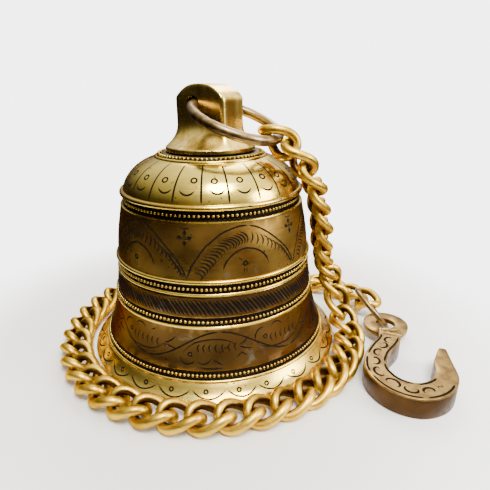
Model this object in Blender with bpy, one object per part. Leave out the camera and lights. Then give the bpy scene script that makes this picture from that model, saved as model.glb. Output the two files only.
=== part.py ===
"""A temple bell: a brass bell with an engraved wall, its crown lug and ring, its clapper, and a curb
chain that hangs from the ring, lies once round the mouth and ends in a ring and a flat hook.

Metres, +Z up. The origin is on the bell's axis, on the surface that the bell stands on. -Y is the
front. The chain comes down the +X side and the hook lies at the front right."""
import math

import bmesh
import bpy
from mathutils import Matrix, Vector

MM = 0.001

# ---------------------------------------------------------------- driving sizes
TURN_STEPS = 44             # facets round the bell
GAP = 0.3 * MM              # clearance between pieces that touch

RIM_R = 51.0 * MM
RIM_LIP_Z = 2.6 * MM
RIM_FLAT_R = 46.8 * MM      # inner edge of the flat ring that the bell stands on
WALL = 2.8 * MM
CROWN_TOP_Z = 78.6 * MM
CROWN_FLAT_R = 18.6 * MM
CROWN_THICK = 3.2 * MM
CROWN_HOLE_R = 4.3 * MM
DOME_CENTRE = (16.6 * MM, 62.6 * MM)    # radius and height of the quarter ellipse's centre
DOME_HALF = (17.9 * MM, 15.0 * MM)      # its half axes

LUG_YAW = math.radians(38)  # the lug's wide face looks to the front left
LUG_W = 22.2 * MM
LUG_T = 13.0 * MM
LUG_CORNER = 1.4 * MM
LUG_FOOT_R = 17.0 * MM
LUG_FOOT_THICK = 1.8 * MM
LUG_SHOULDER_Z = 97.4 * MM  # where the arched top meets the narrow sides
LUG_ARCH = 5.0 * MM
STUD_R = 4.0 * MM
STUD_END_Z = 71.0 * MM
LUG_HOLE_R = 2.75 * MM
LUG_HOLE_Z = 95.7 * MM
LUG_HOLE_SHIFT = -2.5 * MM  # the hole is off the middle of the wide face

RING_R = 16.3 * MM          # crown ring, to the middle of its wire
RING_WIRE = 1.65 * MM
RING_DROOP = math.radians(22)
RING_SEAT = 0.69 * MM       # the bent wire bulges in the straight hole by this much

NUT_ACROSS = 13.0 * MM
NUT_Z = (66.0 * MM, 75.1 * MM)
EYE_Z = 60.0 * MM           # clapper eye, its ring's centre
EYE_R = 4.0 * MM
EYE_WIRE = 1.4 * MM
EYE_SHANK_TOP = 70.6 * MM
LINK_PIVOT_Z = EYE_Z - EYE_R
CLAPPER_PIVOT_Z = 48.8 * MM
OVAL_TOP_Z = 58.8 * MM
OVAL_HALF_W = 2.9 * MM
OVAL_WIRE = 1.1 * MM
ROD_EYE_R = 3.6 * MM
ROD_EYE_WIRE = 1.3 * MM
ROD_EYE_Z = 47.9 * MM
ROD_R = 1.8 * MM
BALL_R = 8.5 * MM
BALL_Z = 15.0 * MM
BALL_BORE = 2.2 * MM
RIVET_R = 3.3 * MM
RIVET_Z = (3.4 * MM, 6.0 * MM)

CHAIN_WIRE = 1.5 * MM
CHAIN_PITCH = 9.4 * MM
CHAIN_LINKS = 49
LINK_HALF_L = 6.9 * MM      # to the middle of the wire
LINK_HALF_W = 4.7 * MM
LINK_TWIST = math.radians(-50)
LINK_FULLNESS = 0.85        # 1 is an ellipse, less is fuller at the corners
TAIL_LINKS = 10             # the links that are free to turn on the table
LOOP_CENTRE = (-0.3 * MM, -0.4 * MM)
LOOP_R = 58.28 * MM
LYING_Z = 3.9 * MM          # chain middle above the table

HOOK_RING_R = 9.7 * MM
HOOK_RING_WIRE = 1.1 * MM
HOOK_RING_LEAN = math.radians(40)
HOOK_THICK = 8.0 * MM
DISC_AT = (72.8 * MM, -11.7 * MM)
DISC_R = 9.2 * MM
DISC_Z = (3.2 * MM, 5.4 * MM)
DISC_HOLE_R = 3.9 * MM

# The hook's middle line and half width in plan, from the collar to the tip.
HOOK_LINE = [
    (70.8, -19.6, 4.4), (70.0, -22.2, 4.4), (67.2, -27.6, 4.1), (61.4, -33.4, 4.0), (57.2, -39.8, 4.1),
    (56.0, -46.6, 4.2), (59.0, -53.4, 4.3), (65.6, -57.2, 4.3), (73.0, -55.8, 4.1),
    (78.4, -50.4, 3.8), (81.0, -43.4, 3.3), (85.2, -35.0, 1.2),
]

# The chain's route: x, y, z in millimetres, then the azimuth and the elevation in degrees of the
# direction that a link's flat side faces. First the stretch from the crown ring down the bell, then
# the loop on the table, which is a circle, and last the tail that leads out to the hook's ring.
HANGING = [
    (20.2, -12.0, 85.5, -22.3, -24), (26.5, -15.9, 81.9, 18.8, -3.9),
    (34.3, -16.9, 72.8, 10, 22.5), (38.7, -13.3, 64.0, 1.1, 4.2),
    (41.2, -10.3, 55.1, 9.7, 0.2), (43.4, -7.5, 46.2, 9.5, -1.3),
    (45.2, -2.2, 35.9, 9.9, -1.8), (49.2, 1.6, 27.0, -15.3, -8.3),
    (52.8, 0.9, 19.4, -74.2, 84.4), (53.9, -1.6, 12.2, -43.8, 67.7),
    (54.6, -5.1, 8.2, -35.3, 70.6), (55.6, -13.0, 4.9, 2.3, 101.7),
]
LOOP_DEGREES = range(-20, -312, -15)
LYING_FACE = (-20, 90)      # a lying link faces up
TAIL = [
    (40.6, 42.0, 3.9, 0, 90), (49.2, 35.8, 3.9, 0, 90), (57.2, 30.4, 3.9, 0, 90),
    (63.6, 24.4, 3.9, 0, 90), (67.9, 17.4, 4.5, 0, 92), (70.5, 10.6, 5.5, 0, 107),
    (71.7, 3.5, 7.1, 0, 147), (71.6, -4.0, 8.1, 0, 150), (71.0, -11.0, 9.5, 0, 150),
]


# ---------------------------------------------------------------- materials
def metal(name, colour, roughness):
    """A plain metal of one colour."""
    material = bpy.data.materials.new(name)
    material.use_nodes = True
    shader = material.node_tree.nodes["Principled BSDF"]
    shader.inputs["Base Color"].default_value = (*colour, 1.0)
    shader.inputs["Metallic"].default_value = 1.0
    shader.inputs["Roughness"].default_value = roughness
    material.diffuse_color = (*colour, 1.0)
    return material


# ---------------------------------------------------------------- mesh helpers
def add_object(name, mesh, material, origin=(0, 0, 0), sharp_degrees=40):
    """Links a mesh as a named object, with its origin moved to the given world point."""
    mesh.transform(Matrix.Translation(-Vector(origin)))
    mesh.materials.append(material)
    mesh.shade_smooth()
    mesh.set_sharp_from_angle(angle=math.radians(sharp_degrees))
    obj = bpy.data.objects.new(name, mesh)
    obj.location = origin
    bpy.context.scene.collection.objects.link(obj)
    return obj


def mesh_from_rings(name, rings, closed=False):
    """Skins a list of equal point rings; an open skin gets a flat cap at each end."""
    bm = bmesh.new()
    rows = [[bm.verts.new(point) for point in ring] for ring in rings]
    count = len(rows[0])
    pairs = list(zip(rows, rows[1:]))
    if closed:
        pairs.append((rows[-1], rows[0]))
    for lower, upper in pairs:
        for i in range(count):
            j = (i + 1) % count
            bm.faces.new((lower[i], lower[j], upper[j], upper[i]))
    if not closed:
        bm.faces.new(list(reversed(rows[0])))
        bm.faces.new(rows[-1])
    bmesh.ops.recalc_face_normals(bm, faces=bm.faces[:])
    mesh = bpy.data.meshes.new(name)
    bm.to_mesh(mesh)
    bm.free()
    return mesh


def turned_mesh(name, outline, steps, centre=(0.0, 0.0)):
    """Turns a closed outline of (radius, height) points about a vertical axis."""
    rings = []
    for step in range(steps):
        angle = 2 * math.pi * step / steps
        c, s = math.cos(angle), math.sin(angle)
        rings.append([(centre[0] + r * c, centre[1] + r * s, z) for r, z in outline])
    return mesh_from_rings(name, rings, closed=True)


def closed_wire_mesh(name, points, wire, sides):
    """A round wire along a closed loop of points about their common centre."""
    centre = sum((Vector(p) for p in points), Vector()) / len(points)
    rings = []
    for i, point in enumerate(points):
        point = Vector(point)
        along = (Vector(points[(i + 1) % len(points)]) - Vector(points[i - 1])).normalized()
        out = point - centre
        out = (out - along * out.dot(along)).normalized()
        side = along.cross(out)
        rings.append([
            point + wire * (out * math.cos(a) + side * math.sin(a))
            for a in (2 * math.pi * k / sides for k in range(sides))
        ])
    return mesh_from_rings(name, rings, closed=True)


def circle_points(centre, axis_a, axis_b, radius, count):
    """Points round a circle in the plane of two unit vectors."""
    centre, axis_a, axis_b = Vector(centre), Vector(axis_a), Vector(axis_b)
    angles = [2 * math.pi * k / count for k in range(count)]
    return [centre + radius * (axis_a * math.cos(a) + axis_b * math.sin(a)) for a in angles]


def cylinder_cutter(name, centre, axis, radius, length, sides=24):
    """A round cutter through a point, along an axis."""
    bm = bmesh.new()
    turn = Vector(axis).to_track_quat("Z", "Y").to_matrix().to_4x4()
    bmesh.ops.create_cone(
        bm, cap_ends=True, segments=sides, radius1=radius, radius2=radius, depth=length,
        matrix=Matrix.Translation(centre) @ turn)
    mesh = bpy.data.meshes.new(name)
    bm.to_mesh(mesh)
    bm.free()
    cutter = bpy.data.objects.new(name, mesh)
    bpy.context.scene.collection.objects.link(cutter)
    cutter.hide_render = True
    cutter.display_type = "WIRE"
    return cutter


def boolean(obj, other, operation):
    modifier = obj.modifiers.new(operation.title(), "BOOLEAN")
    modifier.object = other
    modifier.operation = operation
    modifier.solver = "EXACT"


def pivot(name, point, parent=None):
    """An empty on a joint's axis."""
    empty = bpy.data.objects.new(name, None)
    empty.empty_display_size = 5 * MM
    bpy.context.scene.collection.objects.link(empty)
    empty.location = point
    if parent:
        attach(empty, parent)
    return empty


def attach(child, parent):
    """Parents an object and leaves it where it is."""
    bpy.context.view_layer.update()
    child.parent = parent
    child.matrix_parent_inverse = parent.matrix_world.inverted()


# ---------------------------------------------------------------- the bell
def half_round(radius, z, proud):
    """A small moulding that stands out of the wall, as three outline points."""
    return [(radius, z + proud), (radius + proud, z), (radius, z - proud)]


def dome_outline(first_r, last_r, count):
    """The outside of the dome, a stretch of the quarter ellipse."""
    (centre_r, centre_z), (half_r, half_z) = DOME_CENTRE, DOME_HALF
    start = math.asin((first_r - centre_r) / half_r)
    end = math.asin((last_r - centre_r) / half_r)
    angles = [start + (end - start) * i / (count - 1) for i in range(count)]
    return [(centre_r + half_r * math.sin(a), centre_z + half_z * math.cos(a)) for a in angles]


def bell_outside():
    """The outside of the bell from the crown's hole down to the rim."""
    crown = [(CROWN_HOLE_R, CROWN_TOP_Z), (CROWN_FLAT_R, CROWN_TOP_Z), (18.9 * MM, 77.7 * MM)]
    crown += half_round(20.2 * MM, 77.5 * MM, 0.6 * MM)
    dome = dome_outline(21.4 * MM, 34.2 * MM, 8)
    shoulder = half_round(34.5 * MM, 64.9 * MM, 0.9 * MM)
    upper_groove = [(33.9 * MM, 63.6 * MM), (34.1 * MM, 60.9 * MM), (35.4 * MM, 60.4 * MM)]
    upper_waist = [(35.6 * MM, 58.8 * MM), (37.3 * MM, 50.0 * MM), (38.2 * MM, 42.0 * MM)]
    band = half_round(38.2 * MM, 40.6 * MM, 0.8 * MM)
    band += [(37.9 * MM, 39.4 * MM), (38.0 * MM, 37.0 * MM), (38.9 * MM, 36.4 * MM)]
    band += [(38.7 * MM, 35.1 * MM), (39.5 * MM, 28.6 * MM), (39.4 * MM, 27.8 * MM)]
    band += [(39.6 * MM, 25.6 * MM), (40.5 * MM, 25.1 * MM)]
    lower_waist = [(40.6 * MM, 24.2 * MM), (41.6 * MM, 19.0 * MM), (43.0 * MM, 14.0 * MM)]
    lower_waist += [(44.6 * MM, 10.4 * MM), (45.0 * MM, 7.8 * MM), (46.4 * MM, 7.2 * MM)]
    flare = [(46.9 * MM, 6.2 * MM), (48.7 * MM, 4.0 * MM), (RIM_R, RIM_LIP_Z)]
    foot = [(RIM_R, 0.6 * MM), (RIM_R - 0.6 * MM, 0.0)]
    return crown + dome + shoulder + upper_groove + upper_waist + band + lower_waist + flare + foot


def bell_inside():
    """The inside of the bell from the rim up to the crown's hole."""
    rise = [(RIM_FLAT_R, 0.0), (44.6 * MM, 3.0 * MM), (42.2 * MM, 9.0 * MM), (39.6 * MM, 16.0 * MM)]
    rise += [(37.4 * MM, 26.0 * MM), (35.4 * MM, 41.0 * MM), (32.6 * MM, 60.0 * MM)]
    (centre_r, centre_z), (half_r, half_z) = DOME_CENTRE, DOME_HALF
    angles = [math.radians(a) for a in (72, 52, 32)]
    dome = [
        (centre_r + (half_r - WALL) * math.sin(a), centre_z + (half_z - WALL) * math.cos(a))
        for a in angles]
    crown_z = CROWN_TOP_Z - CROWN_THICK
    return rise + dome + [(CROWN_FLAT_R, crown_z), (CROWN_HOLE_R, crown_z)]


def build_bell(brass):
    outline = bell_outside() + bell_inside()
    return add_object("bell_body", turned_mesh("bell_body", outline, TURN_STEPS), brass)


# ---------------------------------------------------------------- lug and crown ring
def lug_axes():
    """Unit vectors: out of the wide face, and across it to the near right."""
    face = Vector((-math.sin(LUG_YAW), -math.cos(LUG_YAW), 0.0))
    across = Vector((math.cos(LUG_YAW), -math.sin(LUG_YAW), 0.0))
    return face, across


def rounded_box_radius(angle, half_w, half_t, corner):
    """Distance from the centre to a rounded rectangle's edge in a direction."""
    c, s = abs(math.cos(angle)), abs(math.sin(angle))
    straight = min(half_w / max(c, 1e-9), half_t / max(s, 1e-9))
    x, y = straight * c, straight * s
    if x <= half_w - corner or y <= half_t - corner:
        return straight
    cx, cy = half_w - corner, half_t - corner
    along = cx * c + cy * s
    return along + math.sqrt(max(corner * corner - (cx * cx + cy * cy - along * along), 0.0))


def lug_angles():
    """Directions round the lug, with the rounded corners well covered."""
    corner = math.atan2(LUG_T, LUG_W)
    quarter = [0.0, 0.5 * corner, corner - 0.10, corner, corner + 0.10, 0.5 * (corner + math.pi / 2)]
    mirrored = [math.pi - a for a in reversed(quarter[1:])]
    half = quarter + [math.pi / 2] + mirrored
    return half + [a + math.pi for a in half]


def lug_ring(z_at, spread):
    """One level of the lug: spread 0 is the slab, 1 is the round foot."""
    face, across = lug_axes()
    points = []
    for angle in lug_angles():
        slab = rounded_box_radius(angle, LUG_W / 2, LUG_T / 2, LUG_CORNER)
        radius = slab + (LUG_FOOT_R - slab) * spread
        offset = across * (radius * math.cos(angle)) - face * (radius * math.sin(angle))
        points.append(Vector((offset.x, offset.y, z_at(radius * math.cos(angle)))))
    return points


def build_lug(brass):
    """The slab, its concave foot and the stud under it are one turned-up loft."""
    foot_bottom = CROWN_TOP_Z + GAP
    foot_top = foot_bottom + LUG_FOOT_THICK
    angles = lug_angles()
    face, across = lug_axes()
    stud = [
        [Vector((0, 0, z)) + STUD_R * (across * math.cos(a) - face * math.sin(a)) for a in angles]
        for z in (STUD_END_Z, foot_bottom)]
    rings = stud + [lug_ring(lambda x, z=z: z, 1.0) for z in (foot_bottom, foot_top)]
    for rise, spread in ((0.9, 0.72), (2.2, 0.46), (4.0, 0.24), (6.4, 0.08), (9.0, 0.0)):
        rings.append(lug_ring(lambda x, z=foot_top + rise * MM: z, spread))

    def arch(x, drop=0.0):
        return LUG_SHOULDER_Z - drop + LUG_ARCH * math.cos(math.pi / 2 * x / (LUG_W / 2))

    rings.append(lug_ring(lambda x: arch(x, 1.0 * MM), 0.0))
    top = lug_ring(arch, 0.0)
    rings.append([p.lerp(Vector((0, 0, p.z)), 0.08) for p in top])
    bm = bmesh.new()
    rows = [[bm.verts.new(p) for p in ring] for ring in rings]
    count = len(angles)
    for lower, upper in zip(rows, rows[1:]):
        for i in range(count):
            bm.faces.new((lower[i], lower[(i + 1) % count], upper[(i + 1) % count], upper[i]))
    bm.faces.new(list(reversed(rows[0])))
    last = rows[-1]
    for i in range(count // 2):
        a, b, c, d = last[i], last[i + 1], last[count - i - 1], last[(count - i) % count]
        corners = [a, b, c, d] if i else [a, b, c]
        corners = list(dict.fromkeys(corners))
        if len(corners) > 2:
            bm.faces.new(corners)
    bmesh.ops.recalc_face_normals(bm, faces=bm.faces[:])
    mesh = bpy.data.meshes.new("crown_lug")
    bm.to_mesh(mesh)
    bm.free()
    lug = add_object("crown_lug", mesh, brass)
    hole = cylinder_cutter("cut_lug_hole", lug_hole_centre(), face, LUG_HOLE_R, 2 * LUG_T)
    boolean(lug, hole, "DIFFERENCE")
    return lug


def lug_hole_centre():
    return Vector((0, 0, LUG_HOLE_Z)) + LUG_HOLE_SHIFT * lug_axes()[1]


def ring_droop_direction():
    """From the lug's hole towards the far side of the crown ring."""
    across = lug_axes()[1]
    return across * math.cos(RING_DROOP) - Vector((0, 0, 1)) * math.sin(RING_DROOP)


def crown_ring_centre():
    """The ring hangs in the hole and slides round through it about this point."""
    return lug_hole_centre() + ring_droop_direction() * (RING_R - RING_SEAT)


def build_crown_ring(bronze):
    centre = crown_ring_centre()
    points = circle_points(centre, lug_axes()[0], ring_droop_direction(), RING_R, 28)
    mesh = closed_wire_mesh("crown_ring", points, RING_WIRE, 8)
    return add_object("crown_ring", mesh, bronze, centre)


# ---------------------------------------------------------------- clapper
def build_nut(steel):
    bm = bmesh.new()
    bottom, top = NUT_Z
    bmesh.ops.create_cone(
        bm, cap_ends=True, segments=6, radius1=NUT_ACROSS / math.sqrt(3),
        radius2=NUT_ACROSS / math.sqrt(3), depth=top - bottom,
        matrix=Matrix.Translation((0, 0, (top + bottom) / 2)))
    mesh = bpy.data.meshes.new("coupling_nut")
    bm.to_mesh(mesh)
    bm.free()
    nut = add_object("coupling_nut", mesh, steel)
    middle = (0, 0, (top + bottom) / 2)
    bore = cylinder_cutter("cut_nut_bore", middle, (0, 0, 1), STUD_R + GAP, 2 * top)
    boolean(nut, bore, "DIFFERENCE")
    return nut


def rod_mesh(name, radius, low, high, sides=14):
    bm = bmesh.new()
    bmesh.ops.create_cone(
        bm, cap_ends=True, segments=sides, radius1=radius, radius2=radius, depth=high - low,
        matrix=Matrix.Translation((0, 0, (low + high) / 2)))
    mesh = bpy.data.meshes.new(name)
    bm.to_mesh(mesh)
    bm.free()
    return mesh


def hidden_tool(name, mesh):
    """Turns a mesh into an object that only shapes another one."""
    tool = bpy.data.objects.new(name, mesh)
    bpy.context.scene.collection.objects.link(tool)
    tool.hide_render = True
    tool.display_type = "WIRE"
    return tool


def build_clapper_eye(steel):
    """A screw eye in the coupling nut: its ring stands in the XZ plane."""
    points = circle_points((0, 0, EYE_Z), (1, 0, 0), (0, 0, 1), EYE_R, 18)
    eye = add_object("clapper_eye", closed_wire_mesh("clapper_eye", points, EYE_WIRE, 8), steel)
    shank_bottom = EYE_Z + EYE_R - 0.6 * MM
    shank = rod_mesh("eye_shank", STUD_R, shank_bottom, EYE_SHANK_TOP)
    boolean(eye, hidden_tool("add_eye_shank", shank), "UNION")
    return eye


def build_clapper_link(steel):
    """An oval link in the YZ plane, hung on the eye."""
    middle = (OVAL_TOP_Z + CLAPPER_PIVOT_Z) / 2
    half = (OVAL_TOP_Z - CLAPPER_PIVOT_Z) / 2
    straight = half - OVAL_HALF_W
    points = []
    for k in range(20):
        a = 2 * math.pi * (k + 0.5) / 20
        lift = straight if math.sin(a) > 0 else -straight
        points.append((0.0, OVAL_HALF_W * math.cos(a), middle + lift + OVAL_HALF_W * math.sin(a)))
    mesh = closed_wire_mesh("clapper_link", points, OVAL_WIRE, 8)
    return add_object("clapper_link", mesh, steel, (0, 0, LINK_PIVOT_Z))


def build_clapper(steel, brass):
    """The rod with its eye and riveted end, and the ball on it."""
    points = circle_points((0, 0, ROD_EYE_Z), (1, 0, 0), (0, 0, 1), ROD_EYE_R, 18)
    origin = (0, 0, CLAPPER_PIVOT_Z)
    eye = closed_wire_mesh("clapper_rod", points, ROD_EYE_WIRE, 8)
    rod = add_object("clapper_rod", eye, steel, origin)
    rod_top = ROD_EYE_Z - ROD_EYE_R + 0.5 * MM
    shaft = turned_solid("add_rod_shaft", [
        (RIVET_R - 1.0 * MM, RIVET_Z[0]), (RIVET_R, RIVET_Z[0] + 1.0 * MM), (RIVET_R, RIVET_Z[1]),
        (ROD_R, RIVET_Z[1] + 0.1 * MM), (ROD_R, rod_top)], 16)
    boolean(rod, shaft, "UNION")
    ball_points = []
    first = math.asin(BALL_BORE / BALL_R)
    for k in range(11):
        a = first + (math.pi - 2 * first) * k / 10
        ball_points.append((BALL_R * math.sin(a), BALL_Z + BALL_R * math.cos(a)))
    ball = add_object("clapper_ball", turned_mesh("clapper_ball", ball_points, 24), brass, origin)
    return rod, ball


def turned_solid(name, outline, steps):
    """A solid of revolution whose outline runs from its lower end up its outer side."""
    rings = []
    for r, z in outline:
        angles = [2 * math.pi * k / steps for k in range(steps)]
        rings.append([(r * math.cos(a), r * math.sin(a), z) for a in angles])
    return hidden_tool(name, mesh_from_rings(name, rings))


# ---------------------------------------------------------------- chain
def route_points():
    """The chain's route: pairs of a point in metres and the facing direction's two angles."""
    hanging = [(Vector(knot[:3]) * MM, Vector(knot[3:])) for knot in HANGING]
    loop = []
    for degrees in LOOP_DEGREES:
        a = math.radians(degrees)
        x = LOOP_CENTRE[0] + LOOP_R * math.cos(a)
        y = LOOP_CENTRE[1] + LOOP_R * math.sin(a)
        loop.append((Vector((x, y, LYING_Z)), Vector(LYING_FACE)))
    tail = [(Vector(knot[:3]) * MM, Vector(knot[3:])) for knot in TAIL]
    return hanging + loop + tail


def smooth_route(samples=24):
    """Points closely spaced along a centripetal Catmull-Rom curve through the route."""
    knots = route_points()
    before = (2 * knots[0][0] - knots[1][0], knots[0][1])
    after = (2 * knots[-1][0] - knots[-2][0], knots[-1][1])
    knots = [before] + knots + [after]
    curve = []
    for (p0, _), (p1, face1), (p2, face2), (p3, _) in zip(knots, knots[1:], knots[2:], knots[3:]):
        t1 = (p1 - p0).length ** 0.5
        t2 = t1 + (p2 - p1).length ** 0.5
        t3 = t2 + (p3 - p2).length ** 0.5
        for i in range(samples):
            t = t1 + (t2 - t1) * i / samples
            a1 = p0 * ((t1 - t) / t1) + p1 * (t / t1)
            a2 = p1 * ((t2 - t) / (t2 - t1)) + p2 * ((t - t1) / (t2 - t1))
            a3 = p2 * ((t3 - t) / (t3 - t2)) + p3 * ((t - t2) / (t3 - t2))
            b1 = a1 * ((t2 - t) / t2) + a2 * (t / t2)
            b2 = a2 * ((t3 - t) / (t3 - t1)) + a3 * ((t - t1) / (t3 - t1))
            point = b1 * ((t2 - t) / (t2 - t1)) + b2 * ((t - t1) / (t2 - t1))
            curve.append((point, face1.lerp(face2, i / samples)))
    curve.append((knots[-2][0], knots[-2][1]))
    return curve


def chain_joints():
    """The points where link meets link, one pitch apart in a straight line."""
    curve = smooth_route()
    joints = [curve[0]]
    for (a, face_a), (b, face_b) in zip(curve, curve[1:]):
        start = joints[-1][0]
        while len(joints) <= CHAIN_LINKS and (b - start).length >= CHAIN_PITCH:
            low, high = 0.0, 1.0
            for _ in range(40):
                mid = (low + high) / 2
                if (a.lerp(b, mid) - start).length < CHAIN_PITCH:
                    low = mid
                else:
                    high = mid
            joints.append((a.lerp(b, high), face_a.lerp(face_b, high)))
            start = joints[-1][0]
    return joints


def link_frames():
    """Each link's frame: origin at its first joint, X along the chain, Z out of its flat side."""
    joints = chain_joints()
    frames = []
    for (a, face_a), (b, face_b) in zip(joints, joints[1:]):
        azimuth, elevation = (math.radians(angle) for angle in (face_a + face_b) / 2)
        normal = Vector((
            math.cos(elevation) * math.cos(azimuth), math.cos(elevation) * math.sin(azimuth),
            math.sin(elevation)))
        along = (b - a).normalized()
        normal = (normal - along * normal.dot(along)).normalized()
        side = normal.cross(along)
        frame = Matrix((along, side, normal)).transposed().to_4x4()
        frame.translation = a
        frames.append(frame)
    return frames


def link_curve(count):
    """The middle of one link's wire: a full oval whose ends are twisted against each other."""
    points = []
    for k in range(count):
        t = 2 * math.pi * k / count
        c = math.copysign(abs(math.cos(t)) ** LINK_FULLNESS, math.cos(t))
        s = math.copysign(abs(math.sin(t)) ** LINK_FULLNESS, math.sin(t))
        turn = LINK_TWIST * c
        across = LINK_HALF_W * s
        points.append(Vector((
            CHAIN_PITCH / 2 + LINK_HALF_L * c, across * math.cos(turn), across * math.sin(turn))))
    return points


def build_chain(brass, root_pivot):
    """Every link is its own object; the last ones turn about the joints between them."""
    mesh = closed_wire_mesh("chain_link", link_curve(12), CHAIN_WIRE, 5)
    mesh.materials.append(brass)
    mesh.shade_smooth()
    links = []
    parent = root_pivot
    for number, frame in enumerate(link_frames(), start=1):
        link = bpy.data.objects.new(f"chain_link_{number:02d}", mesh)
        bpy.context.scene.collection.objects.link(link)
        link.matrix_world = frame
        if number > CHAIN_LINKS - TAIL_LINKS:
            parent = pivot(f"tail_pivot_{number:02d}", frame.translation, parent)
        attach(link, parent)
        links.append(link)
    return links, parent


# ---------------------------------------------------------------- hook and its ring
def hook_ring_centre():
    """The ring passes down through the disc's hole and up behind the disc."""
    middle_z = (DISC_Z[0] + DISC_Z[1]) / 2
    up = Vector((-math.sin(HOOK_RING_LEAN), 0.0, math.cos(HOOK_RING_LEAN)))
    half_chord = 0.8 * HOOK_RING_R
    rise = math.sqrt(HOOK_RING_R ** 2 - half_chord ** 2)
    start = Vector((DISC_AT[0], DISC_AT[1] - 0.2 * MM, middle_z))
    return start + Vector((0, 1, 0)) * half_chord + up * rise, up


def build_hook_ring(bronze):
    centre, up = hook_ring_centre()
    points = circle_points(centre, (0, 1, 0), up, HOOK_RING_R, 24)
    mesh = closed_wire_mesh("hook_ring", points, HOOK_RING_WIRE, 8)
    return add_object("hook_ring", mesh, bronze, chain_joints()[CHAIN_LINKS][0])


def hook_outline():
    """The flat hook in plan, from its hand-drawn middle line and widths."""
    middle = [(Vector((x, y)) * MM, w * MM) for x, y, w in HOOK_LINE]
    fine = []
    padded = [middle[0]] + middle + [middle[-1]]
    for (p0, _), (p1, w1), (p2, w2), (p3, _) in zip(padded, padded[1:], padded[2:], padded[3:]):
        for i in range(4):
            t = i / 4
            point = 0.5 * (
                2 * p1 + (p2 - p0) * t + (2 * p0 - 5 * p1 + 4 * p2 - p3) * t ** 2
                + (3 * p1 - p0 - 3 * p2 + p3) * t ** 3)
            fine.append((point, w1 + (w2 - w1) * t))
    fine.append(middle[-1])
    left, right = [], []
    for i, (point, width) in enumerate(fine):
        ahead = fine[min(i + 1, len(fine) - 1)][0] - fine[max(i - 1, 0)][0]
        normal = Vector((-ahead.y, ahead.x)).normalized()
        left.append(point + normal * width)
        right.append(point - normal * width)
    return left, right


def build_hook(brass):
    """A flat strip bent to a hook, with a thinner round eye let into its collar end."""
    left, right = hook_outline()
    bm = bmesh.new()
    rows = []
    for z in (0.0, HOOK_THICK):
        rows.append((
            [bm.verts.new((p.x, p.y, z)) for p in left],
            [bm.verts.new((p.x, p.y, z)) for p in right]))
    (low_l, low_r), (top_l, top_r) = rows
    count = len(left)
    for i in range(count - 1):
        bm.faces.new((low_l[i], low_l[i + 1], low_r[i + 1], low_r[i]))
        bm.faces.new((top_l[i], top_r[i], top_r[i + 1], top_l[i + 1]))
        bm.faces.new((low_l[i], top_l[i], top_l[i + 1], low_l[i + 1]))
        bm.faces.new((low_r[i], low_r[i + 1], top_r[i + 1], top_r[i]))
    bm.faces.new((low_l[0], low_r[0], top_r[0], top_l[0]))
    bm.faces.new((low_l[-1], top_l[-1], top_r[-1], low_r[-1]))
    bmesh.ops.recalc_face_normals(bm, faces=bm.faces[:])
    mesh = bpy.data.meshes.new("hook")
    bm.to_mesh(mesh)
    bm.free()
    middle_z = (DISC_Z[0] + DISC_Z[1]) / 2
    hook = add_object("hook", mesh, brass, (*DISC_AT, middle_z))
    centre = (*DISC_AT, middle_z)
    disc = cylinder_cutter("add_hook_disc", centre, (0, 0, 1), DISC_R, DISC_Z[1] - DISC_Z[0], 32)
    boolean(hook, disc, "UNION")
    hole = cylinder_cutter("cut_hook_hole", centre, (0, 0, 1), DISC_HOLE_R, 2 * HOOK_THICK, 20)
    boolean(hook, hole, "DIFFERENCE")
    return hook


# ---------------------------------------------------------------- assembly
def clear_scene():
    for obj in list(bpy.data.objects):
        bpy.data.objects.remove(obj, do_unlink=True)


def main():
    clear_scene()
    brass = metal("engraved_brass", (0.62, 0.42, 0.14), 0.28)
    chain_brass = metal("chain_brass", (0.78, 0.56, 0.20), 0.36)
    bronze = metal("ring_bronze", (0.42, 0.29, 0.15), 0.42)
    steel = metal("clapper_steel", (0.45, 0.44, 0.42), 0.40)

    frame = pivot("bell_frame", (0, 0, 0))
    for fixed in (build_bell(brass), build_lug(brass), build_nut(steel), build_clapper_eye(steel)):
        attach(fixed, frame)

    attach(build_crown_ring(bronze), pivot("crown_ring_pivot", crown_ring_centre(), frame))

    link_pivot = pivot("clapper_link_pivot", (0, 0, LINK_PIVOT_Z), frame)
    clapper_pivot = pivot("clapper_pivot", (0, 0, CLAPPER_PIVOT_Z), link_pivot)
    attach(build_clapper_link(steel), link_pivot)
    for swinging in build_clapper(steel, brass):
        attach(swinging, clapper_pivot)

    _, last_link_pivot = build_chain(chain_brass, frame)
    ring_pivot = pivot("hook_ring_pivot", chain_joints()[CHAIN_LINKS][0], last_link_pivot)
    attach(build_hook_ring(bronze), ring_pivot)
    hook = build_hook(brass)
    attach(hook, pivot("hook_pivot", hook.location, ring_pivot))


main()
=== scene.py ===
"""A temple bell with its crown ring, curb chain and flat hook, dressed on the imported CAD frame.

Metres, +Z up, -Y is the front. Builders below work in millimetres and scale at the end."""
import math
import random

import bmesh
import bpy
import numpy as np
from mathutils import Matrix, Vector, geometry


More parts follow.
